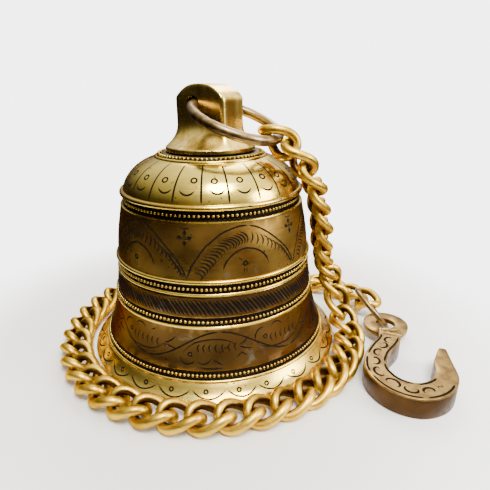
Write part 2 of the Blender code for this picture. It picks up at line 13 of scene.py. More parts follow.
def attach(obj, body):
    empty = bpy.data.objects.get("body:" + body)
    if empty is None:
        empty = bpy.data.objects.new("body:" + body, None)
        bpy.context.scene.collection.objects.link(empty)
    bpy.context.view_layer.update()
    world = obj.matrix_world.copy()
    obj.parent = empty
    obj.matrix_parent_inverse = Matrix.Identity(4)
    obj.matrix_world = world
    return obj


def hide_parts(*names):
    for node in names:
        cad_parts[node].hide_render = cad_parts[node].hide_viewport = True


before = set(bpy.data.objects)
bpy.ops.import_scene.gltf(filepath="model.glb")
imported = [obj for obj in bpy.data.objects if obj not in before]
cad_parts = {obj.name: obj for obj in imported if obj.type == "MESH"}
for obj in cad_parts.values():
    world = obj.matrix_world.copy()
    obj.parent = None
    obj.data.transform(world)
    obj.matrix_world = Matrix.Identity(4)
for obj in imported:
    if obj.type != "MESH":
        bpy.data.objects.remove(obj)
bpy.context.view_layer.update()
MM = 0.001
RNG = random.Random(11)


# ---------------------------------------------------------------- camera
CAMERA_ANGLES = (20.579, 4.615, -0.328)     # degrees down, to the right, and of roll
CAMERA_AT = (0.0, -160.0, 99.562)
CAMERA_LENS = 30.018


def build_camera():
    """The camera's place and lens, fitted to points picked on the photo."""
    pitch, pan, roll = (math.radians(a) for a in CAMERA_ANGLES)
    forward = Vector((
        math.sin(pan) * math.cos(pitch), math.cos(pan) * math.cos(pitch), -math.sin(pitch)))
    right = Vector((math.cos(pan), -math.sin(pan), 0.0))
    up = right.cross(forward)
    turned_right = right * math.cos(roll) + up * math.sin(roll)
    turned_up = up * math.cos(roll) - right * math.sin(roll)
    data = bpy.data.cameras.new("camera")
    data.lens, data.sensor_width, data.clip_start, data.clip_end = (
        CAMERA_LENS, 36.0, 0.005, 50.0)
    camera = bpy.data.objects.new("camera", data)
    matrix = Matrix((turned_right, turned_up, -forward)).transposed().to_4x4()
    matrix.translation = Vector(CAMERA_AT) * MM
    camera.matrix_world = matrix
    bpy.context.scene.collection.objects.link(camera)
    bpy.context.scene.camera = camera


# ---------------------------------------------------------------- node helpers
def ranged(tree, value, *numbers, smooth=False):
    """A map range node: from low, from high, to low, to high."""
    made = tree.nodes.new("ShaderNodeMapRange")
    if smooth:
        made.interpolation_type = "SMOOTHSTEP"
    tree.links.new(value, made.inputs["Value"])
    for key, number in zip(("From Min", "From Max", "To Min", "To Max"), numbers):
        made.inputs[key].default_value = number
    return made.outputs["Result"]


class Paint:
    """A metal material that is put together node by node."""

    def __init__(self, name):
        self.material = bpy.data.materials.new(name)
        self.material.use_nodes = True
        self.tree = self.material.node_tree
        self.shader = self.tree.nodes["Principled BSDF"]
        self.place = self.node("ShaderNodeTexCoord").outputs["Object"]

    def node(self, kind, **values):
        made = self.tree.nodes.new(kind)
        for key, value in values.items():
            setattr(made, key, value)
        return made

    def plug(self, socket, value):
        """Links an output to a socket, or sets a constant on it."""
        if isinstance(value, bpy.types.NodeSocket):
            self.tree.links.new(value, socket)
        elif isinstance(value, tuple) and len(value) == 3 and socket.type == "RGBA":
            socket.default_value = (*value, 1.0)
        else:
            socket.default_value = value

    def noise(self, scale, detail=3.0, stretch=None, distortion=0.0, roughness=0.5):
        """Noise by place; stretch multiplies the three axes."""
        where = self.place
        if stretch:
            mapping = self.node("ShaderNodeMapping")
            self.plug(mapping.inputs["Vector"], where)
            mapping.inputs["Scale"].default_value = stretch
            where = mapping.outputs["Vector"]
        texture = self.node("ShaderNodeTexNoise")
        self.plug(texture.inputs["Vector"], where)
        texture.inputs["Scale"].default_value = scale
        texture.inputs["Detail"].default_value = detail
        texture.inputs["Roughness"].default_value = roughness
        texture.inputs["Distortion"].default_value = distortion
        return texture.outputs["Fac"]

    def level(self, value, low, high, out_low=0.0, out_high=1.0):
        """Stretches a range of a value to another range, held at its ends."""
        return ranged(self.tree, value, low, high, out_low, out_high, smooth=True)

    def maths(self, operation, a, b=0.0):
        made = self.node("ShaderNodeMath", operation=operation, use_clamp=operation == "ADD")
        self.plug(made.inputs[0], a)
        self.plug(made.inputs[1], b)
        return made.outputs[0]

    def mix(self, share, a, b):
        made = self.node("ShaderNodeMix", data_type="RGBA")
        self.plug(made.inputs["Factor"], share)
        self.plug(made.inputs[6], a)
        self.plug(made.inputs[7], b)
        return made.outputs[2]

    def attribute(self, name):
        return self.node("ShaderNodeAttribute", attribute_name=name).outputs["Fac"]

    def bump(self, height, strength, distance, under=None):
        made = self.node("ShaderNodeBump")
        made.inputs["Strength"].default_value = strength
        made.inputs["Distance"].default_value = distance
        self.plug(made.inputs["Height"], height)
        if under:
            self.plug(made.inputs["Normal"], under)
        return made.outputs["Normal"]

    def finish(self, colour, roughness, normal=None, metallic=1.0):
        self.plug(self.shader.inputs["Base Color"], colour)
        self.plug(self.shader.inputs["Roughness"], roughness)
        self.plug(self.shader.inputs["Metallic"], metallic)
        if normal:
            self.plug(self.shader.inputs["Normal"], normal)
        return self.material


def engraved_brass():
    """Polished brass, browner where it was left to age, with turned lines and dark recesses."""
    paint = Paint("engraved_brass_look")
    tint = paint.level(paint.noise(34.0, 4.0, distortion=0.6), 0.36, 0.66)
    bright = paint.mix(tint, (0.88, 0.68, 0.13), (0.66, 0.44, 0.055))
    aged = paint.mix(tint, (0.40, 0.225, 0.055), (0.25, 0.125, 0.032))
    copper = paint.level(paint.noise(62.0, 5.0, (1, 1, 0.7), 1.2), 0.54, 0.70)
    aged = paint.mix(copper, aged, (0.34, 0.125, 0.03))
    aged = paint.mix(paint.level(paint.attribute("tone"), 0.86, 1.0), aged, paint.mix(
        tint, (0.17, 0.094, 0.026), (0.10, 0.052, 0.016)))
    colour = paint.mix(paint.attribute("tone"), bright, aged)
    stain = paint.level(paint.noise(130.0, 3.0, distortion=0.8), 0.62, 0.74, 0.0, 0.4)
    colour = paint.mix(stain, colour, (0.30, 0.32, 0.25))
    specks = paint.level(paint.noise(700.0, 1.0), 0.70, 0.76, 0.0, 0.85)
    colour = paint.mix(specks, colour, (0.05, 0.03, 0.015))
    hidden = paint.maths("ADD", paint.attribute("patina"), paint.maths(
        "MULTIPLY", paint.attribute("patina"), paint.noise(420.0, 3.0)))
    colour = paint.mix(paint.level(hidden, 0.25, 1.0), colour, (0.022, 0.016, 0.014))
    lines = paint.noise(1.0, 2.0, (60.0, 60.0, 3800.0), roughness=0.7)
    rough = paint.maths("ADD", paint.level(lines, 0.3, 0.8, 0.13, 0.23), paint.level(
        paint.noise(70.0, 4.0), 0.4, 0.8, 0.0, 0.14))
    rough = paint.maths("ADD", rough, paint.level(paint.attribute("patina"), 0.2, 1.0, 0.0, 0.3))
    rough = paint.maths("ADD", rough, paint.maths("MULTIPLY", paint.attribute("tone"), 0.16))
    edge = paint.mix(paint.attribute("tone"), (1.0, 1.0, 1.0), (0.17, 0.115, 0.07))
    paint.plug(paint.shader.inputs["Specular Tint"], edge)
    normal = paint.bump(lines, 0.10, 0.00004)
    normal = paint.bump(paint.noise(260.0, 2.0), 0.16, 0.0002, normal)
    return paint.finish(colour, rough, normal)


def groove_patina():
    """The dark wax and tarnish that fills the cut lines."""
    paint = Paint("groove_patina_look")
    colour = paint.mix(paint.noise(600.0), (0.004, 0.003, 0.002), (0.014, 0.009, 0.005))
    paint.shader.inputs["Specular IOR Level"].default_value = 0.05
    return paint.finish(colour, 0.85, metallic=0.0)


def inner_brass():
    """The cast, unpolished inside."""
    paint = Paint("inner_brass_look")
    colour = paint.mix(paint.noise(120.0, 6.0), (0.20, 0.12, 0.05), (0.42, 0.27, 0.11))
    normal = paint.bump(paint.noise(700.0, 4.0), 0.5, 0.0003)
    return paint.finish(colour, paint.level(paint.noise(300.0), 0.3, 0.8, 0.42, 0.62), normal)


def lug_brass():
    """Polished by hand: upright streaks, warm where it was heated, and darker where patina lies."""
    paint = Paint("lug_brass_look")
    streaks = paint.noise(1.0, 4.0, (420.0, 420.0, 26.0), 0.4)
    colour = paint.mix(paint.level(streaks, 0.38, 0.66), (0.92, 0.72, 0.18), (0.72, 0.44, 0.07))
    warm = paint.level(paint.noise(40.0, 1.0), 0.5, 0.75, 0.0, 0.3)
    colour = paint.mix(warm, colour, (0.50, 0.27, 0.07))
    colour = paint.mix(paint.attribute("patina"), colour, (0.06, 0.035, 0.02))
    rough = paint.level(paint.noise(90.0, 4.0), 0.3, 0.75, 0.22, 0.36)
    normal = paint.bump(streaks, 0.05, 0.0001)
    return paint.finish(colour, rough, normal)


def ring_bronze():
    """Dull drawn wire with darker handled patches."""
    paint = Paint("ring_bronze_look")
    colour = paint.mix(
        paint.level(paint.noise(160.0, 5.0, distortion=0.5), 0.35, 0.7),
        (0.31, 0.215, 0.10), (0.14, 0.085, 0.036))
    specks = paint.level(paint.noise(1200.0, 2.0), 0.62, 0.74, 0.0, 0.6)
    colour = paint.mix(specks, colour, (0.07, 0.05, 0.035))
    rough = paint.level(paint.noise(500.0, 3.0), 0.3, 0.75, 0.28, 0.46)
    return paint.finish(colour, rough, paint.bump(paint.noise(1500.0, 3.0), 0.25, 0.00012))


def chain_brass():
    """Satin yellow brass, with painted shade in the hollow of each link."""
    paint = Paint("chain_brass_look")
    tint = paint.level(paint.noise(140.0, 4.0), 0.35, 0.7)
    colour = paint.mix(tint, (0.74, 0.49, 0.06), (0.46, 0.27, 0.028))
    # Painted shade: the inner side of each link's wire darkens, broken up a little by noise.
    hollow_shade = paint.maths("MULTIPLY", paint.attribute("hollow_shade"), paint.level(
        paint.noise(500.0, 3.0), 0.2, 0.8, 0.75, 1.1))
    colour = paint.mix(paint.level(hollow_shade, 0.05, 0.75), colour, (0.075, 0.036, 0.010))
    rough = paint.level(paint.noise(650.0, 4.0), 0.3, 0.75, 0.34, 0.5)
    paint.plug(paint.shader.inputs["Specular Tint"], (0.85, 0.62, 0.25))
    return paint.finish(colour, rough, paint.bump(paint.noise(1300.0, 3.0), 0.2, 0.0001))


def hook_brass():
    """Brushed gold of the hook's face and eye."""
    paint = Paint("hook_brass_look")
    colour = paint.mix(
        paint.level(paint.noise(260.0, 5.0), 0.35, 0.72), (0.31, 0.20, 0.062), (0.155, 0.088, 0.028))
    specks = paint.level(paint.noise(1400.0, 1.0), 0.66, 0.74, 0.0, 0.7)
    colour = paint.mix(specks, colour, (0.06, 0.04, 0.02))
    rings = paint.node("ShaderNodeTexWave", wave_type="RINGS", rings_direction="Z")
    rings.inputs["Scale"].default_value = 1100.0
    rings.inputs["Distortion"].default_value = 0.6
    paint.plug(rings.inputs["Vector"], paint.place)
    rough = paint.level(paint.noise(700.0, 3.0), 0.3, 0.75, 0.3, 0.44)
    return paint.finish(colour, rough, paint.bump(rings.outputs["Fac"], 0.08, 0.00005))


def hook_side_painted_shade():
    """The hook's edge and underside: a dark brown copy of its brass that is painted shade."""
    paint = Paint("hook_side_painted_shade_look")
    colour = paint.mix(paint.noise(180.0, 5.0), (0.034, 0.017, 0.006), (0.09, 0.045, 0.016))
    rough = paint.level(paint.noise(600.0, 4.0), 0.3, 0.8, 0.30, 0.48)
    return paint.finish(colour, rough, paint.bump(paint.noise(900.0, 3.0), 0.2, 0.0001))


def clapper_steel():
    """Plain dark steel with a little rust."""
    paint = Paint("clapper_steel_look")
    rust = paint.level(paint.noise(240.0, 6.0), 0.55, 0.75, 0.0, 0.8)
    colour = paint.mix(rust, (0.34, 0.33, 0.32), (0.20, 0.09, 0.04))
    rough = paint.level(rust, 0.0, 1.0, 0.35, 0.75)
    normal = paint.bump(paint.noise(1500.0, 3.0), 0.3, 0.0001)
    return paint.finish(colour, rough, normal, paint.level(rust, 0.0, 0.8, 1.0, 0.35))


# ---------------------------------------------------------------- mesh helpers
def add_piece(name, points, faces, materials, face_slots=None, sharp=35, attributes=None):
    """Makes a shown object from millimetre points."""
    mesh = bpy.data.meshes.new(name)
    mesh.from_pydata([tuple(c * MM for c in p) for p in points], [], faces)
    for material in materials:
        mesh.materials.append(material)
    if face_slots is not None:
        mesh.polygons.foreach_set("material_index", face_slots)
    for key, values in (attributes or {}).items():
        mesh.attributes.new(key, "FLOAT", "POINT").data.foreach_set("value", values)
    mesh.validate()
    mesh.shade_smooth()
    mesh.set_sharp_from_angle(angle=math.radians(sharp))
    piece = bpy.data.objects.new(name, mesh)
    bpy.context.scene.collection.objects.link(piece)
    return piece


def recalculate(piece):
    """Turns every face outwards."""
    bm = bmesh.new()
    bm.from_mesh(piece.data)
    bmesh.ops.recalc_face_normals(bm, faces=bm.faces[:])
    bm.to_mesh(piece.data)
    bm.free()


def skin(rings, closed=False, offset=0):
    """Quads between equal point rings, with a cap at each open end."""
    count = len(rings[0])
    faces = []
    pairs = list(range(len(rings) - (0 if closed else 1)))
    for a in pairs:
        b = (a + 1) % len(rings)
        for i in range(count):
            j = (i + 1) % count
            faces.append((
                offset + a * count + i, offset + a * count + j,
                offset + b * count + j, offset + b * count + i))
    if not closed:
        faces.append(tuple(offset + i for i in reversed(range(count))))
        faces.append(tuple(offset + (len(rings) - 1) * count + i for i in range(count)))
    return faces


def round_angles(count):
    """Equal steps round a full turn."""
    return [2 * math.pi * k / count for k in range(count)]


def catmull_rom(p0, p1, p2, p3, t):
    """The point at t, from 0 to 1, on the smooth curve from p1 to p2."""
    return 0.5 * (
        2 * p1 + (p2 - p0) * t + (2 * p0 - 5 * p1 + 4 * p2 - p3) * t ** 2
        + (3 * p1 - p0 - 3 * p2 + p3) * t ** 3)


def fit(piece, body, slot, *nodes):
    """Says what body a piece rides on and the CAD nodes it replaces; the slot argument is not used."""
    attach(piece, body)
    if nodes:
        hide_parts(*nodes)


def joined(rings):
    """The points of all rings in one list."""
    return [p for ring in rings for p in ring]


def level_circle(radius, z, count=24):
    """A ring of points about the Z axis."""
    return [
        Vector((radius * math.cos(a), radius * math.sin(a), z)) for a in round_angles(count)]


def add_skin(name, rings, materials, closed=False, sharp=35):
    """Makes a shown object from rings of points, with its faces turned outwards."""
    piece = add_piece(name, joined(rings), skin(rings, closed=closed), materials, sharp=sharp)
    recalculate(piece)
    return piece


def turned(outline, steps):
    """Points and faces of a closed (radius, height) outline turned about the Z axis."""
    rings = [
        [(r * math.cos(a), r * math.sin(a), z) for r, z in outline] for a in round_angles(steps)]
    return joined(rings), skin(rings, closed=True)


def wire_rings(line, wire, sides):
    """Round sections along a closed loop of points, and how much each point looks inwards, which the
    chain uses to place painted shade.
    """
    centre = sum(line, Vector()) / len(line)
    rings, inward_shade = [], []
    for i, point in enumerate(line):
        along = (line[(i + 1) % len(line)] - line[i - 1]).normalized()
        out = point - centre
        out = (out - along * out.dot(along)).normalized()
        side = along.cross(out)
        ring = []
        for a in round_angles(sides):
            ring.append(point + wire * (out * math.cos(a) + side * math.sin(a)))
            inward_shade.append(max(0.0, -math.cos(a)))
        rings.append(ring)
    return rings, inward_shade


def circle_line(centre, axis_a, axis_b, radius, count):
    """Points round a circle that lies along two axes."""
    return [
        centre + radius * (axis_a * math.cos(a) + axis_b * math.sin(a))
        for a in round_angles(count)]


# ---------------------------------------------------------------- chain
LINK_LOOK_WIRE = 1.62    # a little fuller than the CAD wire, inside the gaps between links
CHAIN_PITCH = 9.4
CHAIN_LINKS = 49
TAIL_LINKS = 10
LINK_HALF_L = 6.9
LINK_HALF_W = 4.7
LINK_TWIST = math.radians(-50)
LINK_FULLNESS = 0.85     # below 1 the oval is fuller than an ellipse
# The chain's route, as in part.py: x, y, z, then the azimuth and the elevation in degrees of the
# direction that a link's flat side faces. HANGING, and the places and leans of TAIL's last five
# knots, are results of a scratch program's search for clearances.
HANGING = [
    (20.2, -12.0, 85.5, -22.3, -24), (26.5, -15.9, 81.9, 18.8, -3.9),
    (34.3, -16.9, 72.8, 10, 22.5), (38.7, -13.3, 64.0, 1.1, 4.2),
    (41.2, -10.3, 55.1, 9.7, 0.2), (43.4, -7.5, 46.2, 9.5, -1.3),
    (45.2, -2.2, 35.9, 9.9, -1.8), (49.2, 1.6, 27.0, -15.3, -8.3),
    (52.8, 0.9, 19.4, -74.2, 84.4), (53.9, -1.6, 12.2, -43.8, 67.7),
    (54.6, -5.1, 8.2, -35.3, 70.6), (55.6, -13.0, 4.9, 2.3, 101.7),
]
LOOP_CENTRE = (-0.3, -0.4)
LOOP_R = 58.28
LOOP_DEGREES = range(-20, -312, -15)
LYING_Z = 3.9
LYING_FACE = (-20, 90)      # a lying link faces up
TAIL = [
    (40.6, 42.0, 3.9, 0, 90), (49.2, 35.8, 3.9, 0, 90), (57.2, 30.4, 3.9, 0, 90),
    (63.6, 24.4, 3.9, 0, 90), (67.9, 17.4, 4.5, 0, 92), (70.5, 10.6, 5.5, 0, 107),
    (71.7, 3.5, 7.1, 0, 147), (71.6, -4.0, 8.1, 0, 150), (71.0, -11.0, 9.5, 0, 150),
]


def route_knots():
    """The chain's route as (point, facing azimuth and elevation) from the crown ring outwards."""
    knots = [(Vector(k[:3]), Vector(k[3:])) for k in HANGING]
    for degrees in LOOP_DEGREES:
        a = math.radians(degrees)
        x, y = LOOP_CENTRE[0] + LOOP_R * math.cos(a), LOOP_CENTRE[1] + LOOP_R * math.sin(a)
        knots.append((Vector((x, y, LYING_Z)), Vector(LYING_FACE)))
    return knots + [(Vector(k[:3]), Vector(k[3:])) for k in TAIL]


def smooth_route(samples=24):
    """A centripetal Catmull-Rom curve through the route."""
    knots = route_knots()
    before = (2 * knots[0][0] - knots[1][0], knots[0][1])
    after = (2 * knots[-1][0] - knots[-2][0], knots[-1][1])
    knots = [before] + knots + [after]
    curve = []
    for (p0, _), (p1, face1), (p2, face2), (p3, _) in zip(knots, knots[1:], knots[2:], knots[3:]):
        # Knot spacing is the square root of length in metres, as in the CAD source.
        t1 = ((p1 - p0).length * MM) ** 0.5
        t2 = t1 + ((p2 - p1).length * MM) ** 0.5
        t3 = t2 + ((p3 - p2).length * MM) ** 0.5
        for i in range(samples):
            t = t1 + (t2 - t1) * i / samples
            a1 = p0 * ((t1 - t) / t1) + p1 * (t / t1)
            a2 = p1 * ((t2 - t) / (t2 - t1)) + p2 * ((t - t1) / (t2 - t1))
            a3 = p2 * ((t3 - t) / (t3 - t2)) + p3 * ((t - t2) / (t3 - t2))
            b1 = a1 * ((t2 - t) / t2) + a2 * (t / t2)
            b2 = a2 * ((t3 - t) / (t3 - t1)) + a3 * ((t - t1) / (t3 - t1))
            point = b1 * ((t2 - t) / (t2 - t1)) + b2 * ((t - t1) / (t2 - t1))
            curve.append((point, face1.lerp(face2, i / samples)))
    curve.append(knots[-2])
    return curve


def chain_joints():
    """The points where link meets link, one pitch apart in a straight line."""
    curve = smooth_route()
    joints = [curve[0]]
    for (a, face_a), (b, face_b) in zip(curve, curve[1:]):
        start = joints[-1][0]
        while len(joints) <= CHAIN_LINKS and (b - start).length >= CHAIN_PITCH:
            low, high = 0.0, 1.0
            for _ in range(40):
                mid = (low + high) / 2
                if (a.lerp(b, mid) - start).length < CHAIN_PITCH:
                    low = mid
                else:
                    high = mid
            joints.append((a.lerp(b, high), face_a.lerp(face_b, high)))
            start = joints[-1][0]
    return joints


def link_frames(joints):
    """Each link's frame: origin at its first joint, X along the chain, Z out of its flat side."""
    frames = []
    for (a, face_a), (b, face_b) in zip(joints, joints[1:]):
        azimuth, elevation = (math.radians(angle) for angle in (face_a + face_b) / 2)
        normal = Vector((
            math.cos(elevation) * math.cos(azimuth), math.cos(elevation) * math.sin(azimuth),
            math.sin(elevation)))
        along = (b - a).normalized()
        normal = (normal - along * normal.dot(along)).normalized()
        link = Matrix((along, normal.cross(along), normal)).transposed().to_4x4()
        link.translation = a
        frames.append(link)
    return frames


def link_line(count=60):
    """The middle of one link's wire: a full oval whose ends are twisted against each other."""
    line = []
    for t in round_angles(count):
        c = math.copysign(abs(math.cos(t)) ** LINK_FULLNESS, math.cos(t))
        s = math.copysign(abs(math.sin(t)) ** LINK_FULLNESS, math.sin(t))
        turn, across = LINK_TWIST * c, LINK_HALF_W * s
        line.append(Vector((
            CHAIN_PITCH / 2 + LINK_HALF_L * c, across * math.cos(turn), across * math.sin(turn))))
    return line


def build_chain(material):
    """The links that lie still are one piece; each link of the free tail is its own."""
    joints = chain_joints()
    frames = link_frames(joints)
    rings, inward_shade = wire_rings(link_line(), LINK_LOOK_WIRE, 14)
    local, faces = joined(rings), skin(rings, closed=True)
    still = CHAIN_LINKS - TAIL_LINKS
    # Each still link carries a painted shade weight that rises on the inner side of its wire.
    points, all_faces, hollow_shade = [], [], []
    for link in frames[:still]:
        base = len(points)
        points += [link @ p for p in local]
        all_faces += [tuple(base + i for i in face) for face in faces]
        hollow_shade += inward_shade
    chain = add_piece("curb_chain", points, all_faces, [material], attributes={"hollow_shade": hollow_shade})
    recalculate(chain)
    fit(chain, "bell", "chain_brass", *(f"chain_link_{n:02d}" for n in range(1, still + 1)))
    tail = []
    # The tail links carry the same painted shade weight.
    for number, link in enumerate(frames[still:], start=still + 1):
        piece = add_piece(
            f"tail_link_{number}", [link @ p for p in local], faces, [material],
            attributes={"hollow_shade": inward_shade})
        recalculate(piece)
        fit(piece, f"tail_link_{number}", "chain_brass", f"chain_link_{number:02d}")
        tail.append(piece)
    return chain, tail, [joint[0] for joint in joints[:still + 1]]


# ---------------------------------------------------------------- engraving
class Stroke:
    """One cut of the graver along a line, as deep as it is wide at most."""

    def __init__(self, knots, width=0.36, depth=0.15, taper=0.3, closed=False, step=1.0):
        self.closed = closed
        self.line = self.smooth(np.array(knots, float), closed, step)
        count = len(self.line)
        if closed:
            share = np.ones(count)
        else:
            t = np.linspace(0.0, 1.0, count)
            share = np.minimum(1.0, np.minimum(t, 1.0 - t) / max(taper, 1e-6)) ** 0.6
        self.half = share * width / 2
        self.depth = depth

    @staticmethod
    def smooth(knots, closed, step):
        """A Catmull-Rom line through the knots with points about one step apart."""
        if closed:
            padded = np.vstack([knots[-1], knots, knots[:2]])
        else:
            padded = np.vstack([2 * knots[0] - knots[1], knots, 2 * knots[-1] - knots[-2]])
        line = []
        for p0, p1, p2, p3 in zip(padded, padded[1:], padded[2:], padded[3:]):
            count = max(1, int(round(np.linalg.norm(p2 - p1) / step)))
            for i in range(count):
                t = i / count
                line.append(catmull_rom(p0, p1, p2, p3, t))
        if not closed:
            line.append(knots[-1])
            if len(line) == 2:
                line.insert(1, (line[0] + line[1]) / 2)
        return np.array(line)

    def sides(self):
        """The cut's two edges."""
        ahead = np.roll(self.line, -1, 0) - np.roll(self.line, 1, 0)
        if not self.closed:
            ahead[0] = self.line[1] - self.line[0]
            ahead[-1] = self.line[-1] - self.line[-2]
        ahead /= np.linalg.norm(ahead, axis=1)[:, None]
        across = np.stack([-ahead[:, 1], ahead[:, 0]], 1) * self.half[:, None]
        return self.line + across, self.line - across

    def outline(self, points, edges):
        """Adds its middle and both sides to a sheet's points and edges."""
        left, right = self.sides()
        count, base = len(self.line), len(points)
        if self.closed:
            for rim in (left, self.line, right):
                start = len(points)
                points.extend(rim)
                edges.extend((start + i, start + (i + 1) % count) for i in range(count))
            return
        points.extend(self.line)
        edges.extend((base + i, base + i + 1) for i in range(count - 1))
        for rim in (left, right):
            start = len(points)
            points.extend(rim[1:-1])
            edges.append((base, start))
            edges.extend((start + i, start + i + 1) for i in range(count - 3))
            edges.append((start + count - 3, base + count - 1))


def cut_depth(where, strokes):
    """How deep the cuts are at each point, and how far it is from the nearest cut."""
    where = np.asarray(where, float)
    depth, away = np.zeros(len(where)), np.full(len(where), 9.0)
    if not strokes or not len(where):
        return depth, away
    rows = []
    for s in strokes:
        ends = np.roll(s.line, -1, 0), np.roll(s.half, -1)
        count = len(s.line) - (0 if s.closed else 1)
        rows.append(np.column_stack([
            s.line[:count], ends[0][:count], s.half[:count], ends[1][:count],
            np.full(count, s.depth)]))
    rows = np.vstack(rows)
    low, high = np.minimum(rows[:, 0], rows[:, 2]), np.maximum(rows[:, 0], rows[:, 2])
    bins = np.floor(where[:, 0] / 6.0)
    for b in np.unique(bins):
        chosen = np.where(bins == b)[0]
        near = rows[(high > b * 6.0 - 1.5) & (low < b * 6.0 + 7.5)]
        if not len(near):
            continue
        p = where[chosen][:, None, :]
        a, along = near[None, :, 0:2], (near[:, 2:4] - near[:, 0:2])[None]
        t = ((p - a) * along).sum(2) / np.maximum((along ** 2).sum(2), 1e-12)
        t = np.clip(t, 0.0, 1.0)
        gap = np.linalg.norm(p - a - along * t[..., None], axis=2)
        half = near[None, :, 4] * (1 - t) + near[None, :, 5] * t
        full = np.maximum(near[:, 4], near[:, 5])[None]
        cut = near[None, :, 6] * np.clip(half - gap, 0.0, None) / np.maximum(full, 1e-6)
        depth[chosen] = cut.max(1)
        away[chosen] = (gap - half).min(1)
    return depth, away


def cut_sheet(border, border_edges, inner, strokes, inside_only=False):
    """Triangulates a flat sheet round its cuts: points, depths, triangles, cut flags."""
    inner = np.asarray(inner, float).reshape(-1, 2)
    _, away = cut_depth(inner, strokes)
    points = [np.asarray(p, float) for p in border] + [p for p in inner[away > 0.3]]
    edges = list(border_edges)
    for s in strokes:
        s.outline(points, edges)
    made = geometry.delaunay_2d_cdt(
        [Vector(p) for p in points], edges, [], 1 if inside_only else 0, 1e-4)
    flat = np.array([tuple(v) for v in made[0]])
    faces = [tuple(f) for f in made[2] if len(f) == 3]
    depth, _ = cut_depth(flat, strokes)
    depth[depth < 0.004] = 0.0
    middle = flat[np.array(faces)].mean(1)
    inside, _ = cut_depth(middle, strokes)
    return flat, depth, faces, inside > 0.004


# ---------------------------------------------------------------- bell
COLUMNS = 180


def arc(centre_r, centre_z, radius, first, last, count):
    """Outline points round a small moulding, in degrees up from straight out."""
    angles = [math.radians(first + (last - first) * i / (count - 1)) for i in range(count)]
    return [(centre_r + radius * math.cos(a), centre_z + radius * math.sin(a)) for a in angles]


def dome_arc(first_r, last_r, count):
    """Outline points of the dome, part of an ellipse, between two radii."""
    start, end = (math.asin((r - 16.6) / 17.9) for r in (first_r, last_r))
    angles = [start + (end - start) * i / (count - 1) for i in range(count)]
    return [(16.6 + 17.9 * math.sin(a), 62.6 + 15.0 * math.cos(a)) for a in angles]


def fine_line(knots, step):
    """A smooth (radius, height) line through the knots."""
    return [tuple(p) for p in Stroke.smooth(np.array(knots, float), False, step)]


def wrapped(theta):
    """An angle brought back to at most half a turn."""
    return theta - 360.0 if theta > 180.0 else theta


def neighbours(angles):
    """Pairs of angles that lie side by side, all the way round the bell."""
    ordered = sorted(angles)
    return zip(ordered, ordered[1:] + [ordered[0] + 360.0])


# Engraving is placed by angle from the front, in degrees to the right, and height. The front's
# places were picked on the photo, and a scratch program turned them into angles and heights with
# the fitted camera. Some were changed later.
class Zone:
    """A stretch of the wall that is engraved: its profile, and its strokes by angle and height."""

    def __init__(self, profile, row_gap=2.2, tone=0.0, patina=0.0):
        self.profile = np.array(profile)
        gaps = np.linalg.norm(np.diff(self.profile, axis=0), axis=1)
        self.down = np.concatenate([[0.0], np.cumsum(gaps)])
        self.height = self.down[-1]
        self.scale = math.radians(1.0) * self.profile[:, 0].mean()
        self.row_gap, self.tone, self.patina = row_gap, tone, patina
        slope = np.gradient(self.profile, self.down, axis=0)
        normal = np.stack([-slope[:, 1], slope[:, 0]], 1)
        self.normal = normal / np.linalg.norm(normal, axis=1)[:, None]
        self.strokes = []

    def at(self, theta, z):
        """Flat place of a point given by its angle and height."""
        v = np.interp(-z, -self.profile[:, 1], self.down)
        return theta * self.scale, v

    def radius(self, z):
        """The wall's radius at a height."""
        return float(np.interp(-z, -self.profile[:, 1], self.profile[:, 0]))

    def cut(self, knots, **kind):
        """Adds a stroke, unless it comes too near the seam at the back."""
        places = [self.at(theta, z) for theta, z in knots]
        reach = 180.0 * self.scale - 1.0
        if all(abs(u) < reach for u, _ in places):
            self.strokes.append(Stroke(places, **kind))

    def cut_round(self, knots, **kind):
        """Cuts a line whose angles may pass half a turn, unless it crosses the seam."""
        moved = [(wrapped(theta), z) for theta, z in knots]
        if max(abs(p[0] - q[0]) for p, q in zip(moved, moved[1:])) < 90:
            self.cut(moved, **kind)

    def circle(self, theta, z, radius, count=12, **kind):
        """A punched ring."""
        u, v = self.at(theta, z)
        wide = radius * self.scale / (math.radians(1.0) * self.radius(z))
        if abs(u) > 180.0 * self.scale - 1.5:
            return
        knots = [
            (u + wide * math.cos(a), v + radius * math.sin(a))
            for a in round_angles(count)]
        self.strokes.append(Stroke(knots, closed=True, step=2 * math.pi * radius / count, **kind))

    def build(self):
        """Points, triangles, cut flags and the normals of its uncut surface."""
        rows = max(2, int(round(self.height / self.row_gap)))
        levels = [self.height * i / rows for i in range(rows + 1)]
        top = [(2.0 * c - 180.0) * self.scale for c in range(COLUMNS + 1)]
        border = [(u, 0.0) for u in top] + [(u, self.height) for u in top]
        border += [(u, v) for v in levels[1:-1] for u in (top[0], top[-1])]
        edges = [(i, i + 1) for i in range(COLUMNS)]
        edges += [(COLUMNS + 1 + i, COLUMNS + 2 + i) for i in range(COLUMNS)]
        first = 2 * (COLUMNS + 1)
        for side, (a, b) in enumerate(((0, COLUMNS + 1), (COLUMNS, 2 * COLUMNS + 1))):
            chain = [a] + [first + 2 * i + side for i in range(rows - 1)] + [b]
            edges += list(zip(chain, chain[1:]))
        inner = [(u, v) for v in levels[1:-1] for u in top[1:-1]]
        flat, depth, faces, cut = cut_sheet(border, edges, inner, self.strokes)
        theta = np.radians(flat[:, 0] / self.scale)
        r = np.interp(flat[:, 1], self.down, self.profile[:, 0])
        z = np.interp(flat[:, 1], self.down, self.profile[:, 1])
        nr = np.interp(flat[:, 1], self.down, self.normal[:, 0])
        nz = np.interp(flat[:, 1], self.down, self.normal[:, 1])
        r, z = r - depth * nr, z - depth * nz
        points = np.stack([r * np.sin(theta), -r * np.cos(theta), z], 1)
        normals = np.stack([nr * np.sin(theta), -nr * np.cos(theta), nz], 1)
        return points, faces, cut, normals


